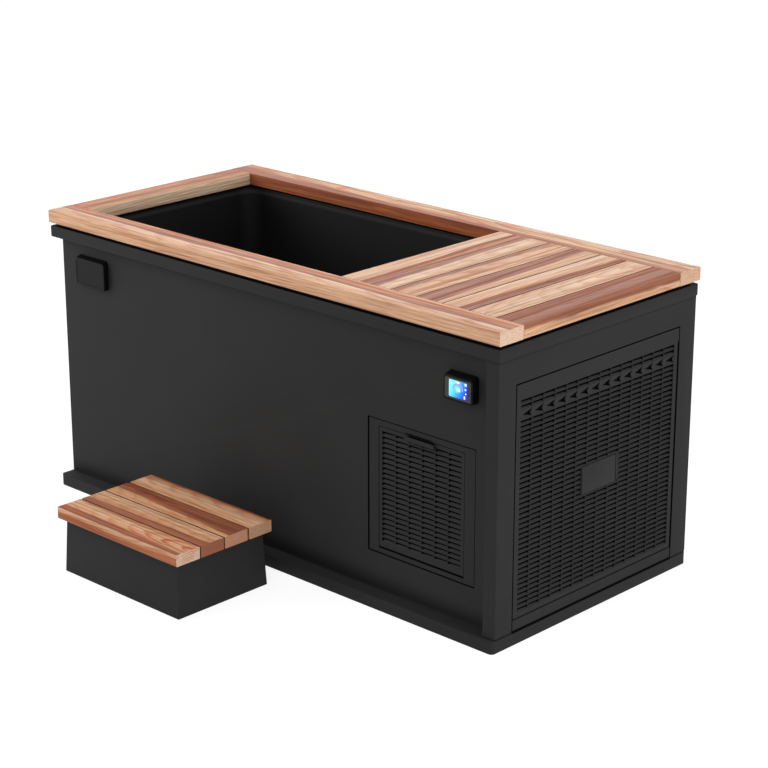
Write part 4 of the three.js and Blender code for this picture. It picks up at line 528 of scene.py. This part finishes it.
def shell_gaps(low, high):
    """Painted shade on the lip's top under the timber and on the edges of the two openings, a line of painted
    shade below the lip, and the painted shadow at the recess's foot.
    """
    door_low, door_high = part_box("door_frame")
    front_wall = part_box("front_badge")[1].y
    end_low, end_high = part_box("end_panel")
    lip_top = beyond(low, high, from_z=high.z - GAP_EDGE)
    doorway = ((door_low.x, front_wall + 2 * GAP_EDGE, door_low.z), (door_high.x, 0.0, door_high.z))
    end_way = ((end_low.x, end_low.y - END_WAY, low.z - 1),
               (end_high.x - GAP_EDGE, end_high.y + END_WAY, end_high.z + END_WAY))
    foot = (high.x - FOOT[0], low.y + FOOT[1], low.z, low.z + FOOT[2])
    drop, reach, strength = LIP_LINE
    # a soft line of painted shade below the lip
    line = (high.z - LIP_HEIGHT - drop, reach, strength, PAINTED_SHADE_AND_HOUSING_BLACK)
    return {"boxes": [lip_top, doorway, end_way], "foot": foot, "bands": [line]}


def frame_gaps(low, high):
    """Painted shade on the end panel's frame above its sill, seen in the gap round the panel, and on the
    sill's bottom edge.
    """
    above = beyond(low, high, from_z=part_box("end_panel")[0].z - SILL_TOP)
    below = beyond(low, high, to_z=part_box("base_plinth")[1].z + SILL_EDGE)
    return {"boxes": [above, below]}


def door_frame_gaps(low, high):
    """Painted shade on the door frame's back flange in the gap round its face, on its left edge, and in a
    patch over it at the pull.
    """
    door_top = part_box("filter_door")[1].z
    pull_low, pull_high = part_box("door_pull")
    left, right, down, up = PULL_SHADE_PATCH
    flange = beyond(low, high, from_y=low.y + FRAME_FACE)
    edge = beyond(low, high, to_x=low.x + FRAME_FLANGE + FRAME_LEFT_EDGE)
    # a patch of painted shade over the frame at the pull
    notch = beyond(low, high, from_x=pull_low.x - left, to_x=pull_high.x - right,
                   from_z=door_top - down, to_z=door_top + up)
    return {"boxes": [flange, edge, notch]}


def plinth_gaps(low, high):
    """Painted shade on the plinth's top edge under the end panel's sill."""
    end_low, end_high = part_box("end_panel")
    aside, down = PLINTH_EDGE
    edge = beyond(low, high, from_x=end_low.x, from_y=end_low.y - aside, to_y=end_high.y + aside,
                  from_z=high.z - down)
    return {"boxes": [edge]}


def badge_gaps(low, high):
    """The sides of a housing, behind its darker face."""
    return {"boxes": [beyond(low, high, from_y=low.y + HOUSING_FACE)], "colour": BADGE_GREY}


def basin_gaps(low, high):
    """Painted shade for the dark between the timber and the basin, and a painted highlight on the basin's
    rolled rim under it.
    """
    drop, reach, strength = BASIN_RIM
    return {"boxes": [beyond(low, high, from_z=high.z - BASIN_DARK)],
            "bands": [(high.z - drop, reach, strength, PAINTED_RIM_HIGHLIGHT)],
            "colour": BASIN_BLACK, "roughness": BASIN_ROUGHNESS, "grain": BASIN_GRAIN}


GAPS = {
    "outer_shell": shell_gaps,
    "inner_basin": basin_gaps,
    "end_panel_frame": frame_gaps,
    "door_frame": door_frame_gaps,
    "base_plinth": plinth_gaps,
    "front_badge": badge_gaps,
}


def dress_cad_nodes():
    group = soft_shading()
    slots = {part["node"]: part["material_slot"] for part in frame["record"]["subparts"]}
    for name, node in nodes.items():
        modifier = node.modifiers.new("soft_shading", "NODES")
        modifier.node_group = group
        low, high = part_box(name)
        if name in BOARDS:
            dress(node, cedar(name, BOARDS[name], low, high))
        elif name == "screen_glass":
            dress(node, lit_screen("lit_screen", low, high))
        elif name in GAPS:
            look = {"colour": CHARCOAL, "roughness": SHELL_ROUGHNESS, **GAPS[name](low, high)}
            dress(node, shaded_within(name + "_plastic", **look))
        elif name in ("door_pull", "end_panel_badge"):
            dress(node, panel_plastic)
        else:
            dress(node, finishes[slots[name]])


def mesh_piece(name, mesh_maker, materials, body):
    mesh = bpy.data.meshes.new(name)
    build = bmesh.new()
    mesh_maker(build)
    bmesh.ops.recalc_face_normals(build, faces=build.faces)
    build.to_mesh(mesh)
    build.free()
    piece = bpy.data.objects.new(name, mesh)
    bpy.context.scene.collection.objects.link(piece)
    for material in materials:
        mesh.materials.append(material)
    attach(piece, body)
    return piece


# Louvred panels


def louvre_rows(bottom, top, count, grip_row=0, grip_pitch=1.0):
    """(lower edge, upper edge, is the grip) of each row of slots, from the bottom up."""
    pitch = (top - bottom) / (count - 1 + grip_pitch)
    rows = []
    upper = top
    for number in range(1, count + 1):
        lower = upper - pitch * (grip_pitch if number == grip_row else 1.0)
        rows.append((lower, upper - BLADE_EDGE, number == grip_row))
        upper = lower
    return rows[::-1]


class LouvreSheet:
    """A plate with rows of sloping blades and the slots under them, in the panel's own plane. Faces marked
    dark take its second material, painted shade in the slots, the grips' hollows and the finger slot, and on
    the plate's edges and back.
    """

    def __init__(self, build, place, outline, margins, columns, slot, deep_first,
                 notch=0.0, notch_top=0.0, finger=None):
        self.build = build
        self.place = place
        self.slot = slot
        self.left, self.right, self.bottom, self.top = outline
        self.deep_first = deep_first
        self.notch = notch
        self.notch_top = notch_top
        self.finger = finger
        start = self.left + margins[0]
        pitch = (self.right - margins[1] - start) / columns
        self.across = [self.left]
        for column in range(columns):
            near = start + column * pitch + (SLOT_RIB / 2 if column else 0.0)
            far = start + (column + 1) * pitch - (SLOT_RIB / 2 if column < columns - 1 else 0.0)
            share = SLOT_WIDE_END if deep_first else 1 - SLOT_WIDE_END
            self.across += [near, near + (far - near) * share, far]
        self.across.append(self.right)

    def vert(self, s, t, out=0.0):
        return self.build.verts.new(self.place(s, t, out))

    def face(self, *corners, dark=False):
        # dark faces take the painted slot shade
        self.build.faces.new(corners).material_index = 1 if dark else 0

    def line(self, t):
        """The plate's corners on one level. The last one stands back where the edge is notched."""
        edge = self.right - (self.notch if t < self.notch_top else 0.0)
        return [self.vert(s, t) for s in self.across[:-1]] + [self.vert(edge, t)]

    def plain(self, lower, upper):
        for i in range(len(self.across) - 1):
            self.face(lower[i], lower[i + 1], upper[i + 1], upper[i])

    def sides(self, lower, upper):
        """The margins beside a row."""
        last = len(self.across) - 1
        self.face(lower[0], lower[1], upper[1], upper[0])
        self.face(lower[last - 1], lower[last], upper[last], upper[last - 1])

    def slots(self, lower, upper, t0, t1):
        self.sides(lower, upper)
        wide, beside, narrow = [t0 + (t1 - t0) * share for share in self.slot]
        previous = None
        for i in range(1, len(self.across) - 2, COLUMN_LINES):
            near, knee, far = self.across[i:i + COLUMN_LINES]
            ends = (wide, wide, beside, narrow) if self.deep_first else (narrow, beside, wide, wide)
            edge = [self.vert(s, t, -BLADE_DEPTH) for s, t in zip((near, knee, knee, far), ends)]
            self.face(lower[i], lower[i + 1], edge[1], edge[0])
            self.face(lower[i + 1], lower[i + 2], edge[3], edge[2])
            self.face(lower[i + 1], edge[2], edge[1])
            if previous:
                self.face(lower[i - 1], lower[i], edge[0], previous)
                self.face(previous, edge[0], upper[i], upper[i - 1])
            else:
                self.face(lower[i], edge[0], upper[i])
            previous = edge[3]
            mouth = edge + [upper[i + 2], upper[i + 1], upper[i]]
            inward = self.place(0, 0, -SLOT_DEPTH) - self.place(0, 0, -BLADE_DEPTH)
            back = [self.build.verts.new(vert.co + inward) for vert in edge]
            back += [self.vert(s, t1, -SLOT_DEPTH) for s in (far, knee, near)]
            for k in range(len(mouth)):
                after = (k + 1) % len(mouth)
                self.face(mouth[k], mouth[after], back[after], back[k], dark=True)
            self.face(back[0], back[1], back[5], back[6], dark=True)
            self.face(back[2], back[3], back[4], back[5], dark=True)
        last = len(self.across) - 2
        self.face(lower[last], upper[last], previous)

    def grips(self, lower, upper, t0, t1):
        """A taller row: a shallow pit in each column, with a forked hollow at its end that is painted dark as
        shade.
        """
        self.sides(lower, upper)
        middle = (t0 + t1) / 2
        for i in range(1, len(self.across) - 2, COLUMN_LINES):
            if i > 1:
                self.face(lower[i - 1], lower[i], upper[i], upper[i - 1])
            corners = lower[i], lower[i + 2], upper[i + 2], upper[i]
            width = self.across[i + 2] - self.across[i]
            edge = (t1 - t0) * FORK_EDGE
            fork = ((FORK_TAIL, middle), (FORK_ARMS, t0 + edge), (FORK_INNER, middle), (FORK_ARMS, t1 - edge))
            rim = [self.vert(self.across[i] + width * share, t, -PIT_DEPTH) for share, t in fork]
            floor_of_fork = [self.vert(self.across[i] + width * share, t, -SLOT_DEPTH) for share, t in fork]
            tail, low_arm, inner, high_arm = rim
            self.face(corners[3], corners[0], tail)
            self.face(corners[0], lower[i + 1], corners[1], low_arm, tail)
            self.face(corners[1], inner, low_arm)
            self.face(corners[1], corners[2], inner)
            self.face(corners[2], high_arm, inner)
            self.face(corners[2], upper[i + 1], corners[3], tail, high_arm)
            for k in range(len(rim)):
                after = (k + 1) % len(rim)
                self.face(rim[k], rim[after], floor_of_fork[after], floor_of_fork[k], dark=True)
            self.face(floor_of_fork[0], floor_of_fork[1], floor_of_fork[2], dark=True)
            self.face(floor_of_fork[0], floor_of_fork[2], floor_of_fork[3], dark=True)

    def finger_slot(self, lower, upper, t0, t1, first, last):
        """A hollow in the plate from one of its upright lines to another, painted dark as shade inside."""
        for i in range(len(self.across) - 1):
            if not first <= i < last:
                self.face(lower[i], lower[i + 1], upper[i + 1], upper[i])
        mouth = lower[first:last + 1] + upper[first:last + 1][::-1]
        places = list(range(first, last + 1))
        back = [self.vert(self.across[i], t0, -SLOT_DEPTH) for i in places]
        back += [self.vert(self.across[i], t1, -SLOT_DEPTH) for i in places[::-1]]
        for k, corner in enumerate(mouth):
            after = (k + 1) % len(mouth)
            self.face(corner, mouth[after], back[after], back[k], dark=True)
        self.face(*back, dark=True)

    def make(self, rows):
        below = self.line(self.bottom)
        left_edge, right_edge = [below[0]], [below[-1]]
        first = below

        def reach(level, builder, *sizes):
            nonlocal below
            builder(below, level, *sizes)
            below = level
            left_edge.append(level[0])
            right_edge.append(level[-1])

        for t0, t1, is_grip in rows:
            reach(self.line(t0), self.plain)
            reach(self.line(t1), self.grips if is_grip else self.slots, t0, t1)
        if self.finger:
            t0, t1, first_line, last_line = self.finger
            reach(self.line(t0), self.plain)
            reach(self.line(t1), self.finger_slot, t0, t1, first_line, last_line)
        if self.notch:
            reach(self.line(self.notch_top - END_NOTCH_STEP), self.plain)
            reach(self.line(self.notch_top), self.plain)
        reach(self.line(self.top), self.plain)
        rim = first[:-1] + right_edge[:-1] + below[:0:-1] + left_edge[:0:-1]
        inward = self.place(0, 0, -PANEL_BACK) - self.place(0, 0, 0)
        back = [self.build.verts.new(vert.co + inward) for vert in rim]
        for k, vert in enumerate(rim):
            after = (k + 1) % len(rim)
            self.face(vert, back[k], back[after], rim[after], dark=True)
        self.face(*back[::-1], dark=True)


def filter_door():
    low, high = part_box("filter_door")
    rows = louvre_rows(low.z + DOOR_MARGINS[2], high.z - DOOR_MARGINS[3], DOOR_ROWS)

    def place(s, t, out):
        return Vector((s, low.y - out, t))

    first_line = (FINGER_COLUMNS[0] - 1) * COLUMN_LINES + 1
    last_line = FINGER_COLUMNS[1] * COLUMN_LINES
    finger = (high.z - FINGER_SLOT[0], high.z - FINGER_SLOT[1], first_line, last_line)

    def sheet(build):
        outline = (low.x, high.x, low.z, high.z)
        louvres = LouvreSheet(build, place, outline, DOOR_MARGINS, DOOR_COLUMNS, DOOR_SLOT, True,
                              finger=finger)
        louvres.make(rows)

    piece = mesh_piece("filter_door_louvres", sheet, [panel_plastic, painted_slot_shade], "door")
    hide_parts("filter_door")


def end_panel():
    low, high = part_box("end_panel")
    bottom, top = low.z + END_MARGINS[2], high.z - END_MARGINS[3]
    rows = louvre_rows(bottom, top, END_ROWS, END_GRIP_ROW, END_GRIP_PITCH)

    def place(s, t, out):
        return Vector((high.x + out, s, t))

    def sheet(build):
        outline = (low.y, high.y, low.z, high.z)
        louvres = LouvreSheet(build, place, outline, END_MARGINS, END_COLUMNS, END_SLOT, False,
                              END_NOTCH, high.z - END_NOTCH_FROM_TOP)
        louvres.make(rows)

    piece = mesh_piece("end_panel_louvres", sheet, [panel_plastic, painted_slot_shade], "end_cover")
    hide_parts("end_panel")


def badge_seat():
    """A plain raised field in the louvres round the end panel's blank plate, with a line of painted shade
    along the plate's rear edge.
    """
    low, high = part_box("end_panel_badge")
    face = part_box("end_panel")[1].x
    half_width = (high.y - low.y + sum(BADGE_SEAT)) / 2
    half_height = (high.z - low.z) / 2
    centre = (low + high) / 2
    centre.y += (BADGE_SEAT[1] - BADGE_SEAT[0]) / 2

    def outline(build, inset, x):
        verts = []
        for quarter, (sy, sz) in enumerate(((1, 1), (-1, 1), (-1, -1), (1, -1))):
            for turn in range(SEAT_TURNS):
                angle = (quarter + turn / (SEAT_TURNS - 1)) * math.pi / 2
                y = sy * (half_width - SEAT_CORNER) + (SEAT_CORNER - inset) * math.cos(angle)
                z = sz * (half_height - SEAT_CORNER) + (SEAT_CORNER - inset) * math.sin(angle)
                verts.append(build.verts.new((x, centre.y + y, centre.z + z)))
        return verts

    def plate(build):
        levels = [outline(build, inset, face + height) for inset, height in SEAT_LEVELS]
        build.faces.new(levels[0][::-1])
        build.faces.new(levels[-1])
        for near, far in zip(levels, levels[1:]):
            for k, vert in enumerate(near):
                after = (k + 1) % len(near)
                build.faces.new((vert, near[after], far[after], far[k]))

    # a line of painted shade on the field along the plate's rear edge
    dark = ((face - 1, high.y - BADGE_LINE_LAP, low.z), (face + 1, high.y + BADGE_LINE, high.z))
    plastic = shaded_within("badge_seat_plastic", CHARCOAL, PANEL_ROUGHNESS, [dark])
    piece = mesh_piece("end_panel_badge_seat", plate, [plastic], "end_cover")


# Stage


def seen_directly(tree):
    """1 for what the camera sees, in a reflection too, and 0 for light that has bounced."""
    path = add(tree, "ShaderNodeLightPath").outputs
    mirrored = calc(tree, "MAXIMUM", path["Is Glossy Ray"], path["Is Transmission Ray"])
    return calc(tree, "MAXIMUM", path["Is Camera Ray"], mirrored)


def floor_material():
    """A pale floor that shows white, keeps the object's soft shadow, and is dark where it is shut in."""
    material = bpy.data.materials.new("floor")
    tree = empty_tree(material)
    paint = add(tree, "ShaderNodeBsdfDiffuse", {"Color": FLOOR_PAINT})
    around = add(tree, "ShaderNodeAmbientOcclusion", {"Distance": FLOOR_SHUT_IN})
    dark, open_air = FLOOR_OPEN
    ends = {"Value": around.outputs["AO"], "From Min": dark, "From Max": open_air, "To Max": FLOOR_WHITE}
    lit = add(tree, "ShaderNodeMapRange", ends)
    white = add(tree, "ShaderNodeEmission", {"Color": WHITE, "Strength": lit.outputs[0]})
    blend = add(tree, "ShaderNodeMixShader", {0: FLOOR_GLOW, 1: paint.outputs[0], 2: white.outputs[0]})
    inputs = {0: seen_directly(tree), 1: paint.outputs[0], 2: blend.outputs[0]}
    whole = add(tree, "ShaderNodeMixShader", inputs)
    output = tree.nodes.new("ShaderNodeOutputMaterial")
    tree.links.new(whole.outputs[0], output.inputs["Surface"])
    return material


def floor():
    mesh = bpy.data.meshes.new("floor")
    reach = FLOOR_REACH
    corners = [(-reach, -reach, 0), (reach, -reach, 0), (reach, reach, 0), (-reach, reach, 0)]
    mesh.from_pydata(corners, [], [(0, 1, 2, 3)])
    mesh.materials.append(floor_material())
    plane = bpy.data.objects.new("floor", mesh)
    bpy.context.scene.collection.objects.link(plane)


def world():
    scene_world = bpy.data.worlds.new("studio")
    bpy.context.scene.world = scene_world
    tree = empty_tree(scene_world)
    ambient = add(tree, "ShaderNodeBackground", {"Color": WHITE, "Strength": AMBIENT})
    backdrop = add(tree, "ShaderNodeBackground", {"Color": WHITE, "Strength": BACKDROP})
    inputs = {0: seen_directly(tree), 1: ambient.outputs[0], 2: backdrop.outputs[0]}
    blend = add(tree, "ShaderNodeMixShader", inputs)
    output = tree.nodes.new("ShaderNodeOutputWorld")
    tree.links.new(blend.outputs[0], output.inputs["Surface"])


def softbox(name, place, target, size, power):
    light = bpy.data.lights.new(name, "AREA")
    light.shape = "SQUARE"
    light.size = size
    light.energy = power
    lamp = bpy.data.objects.new(name, light)
    lamp.location = place
    lamp.rotation_euler = (Vector(target) - Vector(place)).to_track_quat("-Z", "Y").to_euler()
    bpy.context.scene.collection.objects.link(lamp)


def camera():
    lens = bpy.data.cameras.new("camera")
    lens.lens = CAMERA_LENS
    lens.sensor_width = CAMERA_SENSOR
    view = bpy.data.objects.new("camera", lens)
    view.location = CAMERA_PLACE
    view.rotation_euler = (math.radians(90 - CAMERA_ELEVATION), 0, math.radians(CAMERA_AZIMUTH))
    bpy.context.scene.collection.objects.link(view)
    bpy.context.scene.camera = view


camera()
world()
floor()
for lamp in LAMPS:
    softbox(*lamp)
bpy.context.scene.view_settings.view_transform = "Standard"

dress_cad_nodes()
filter_door()
end_panel()
badge_seat()
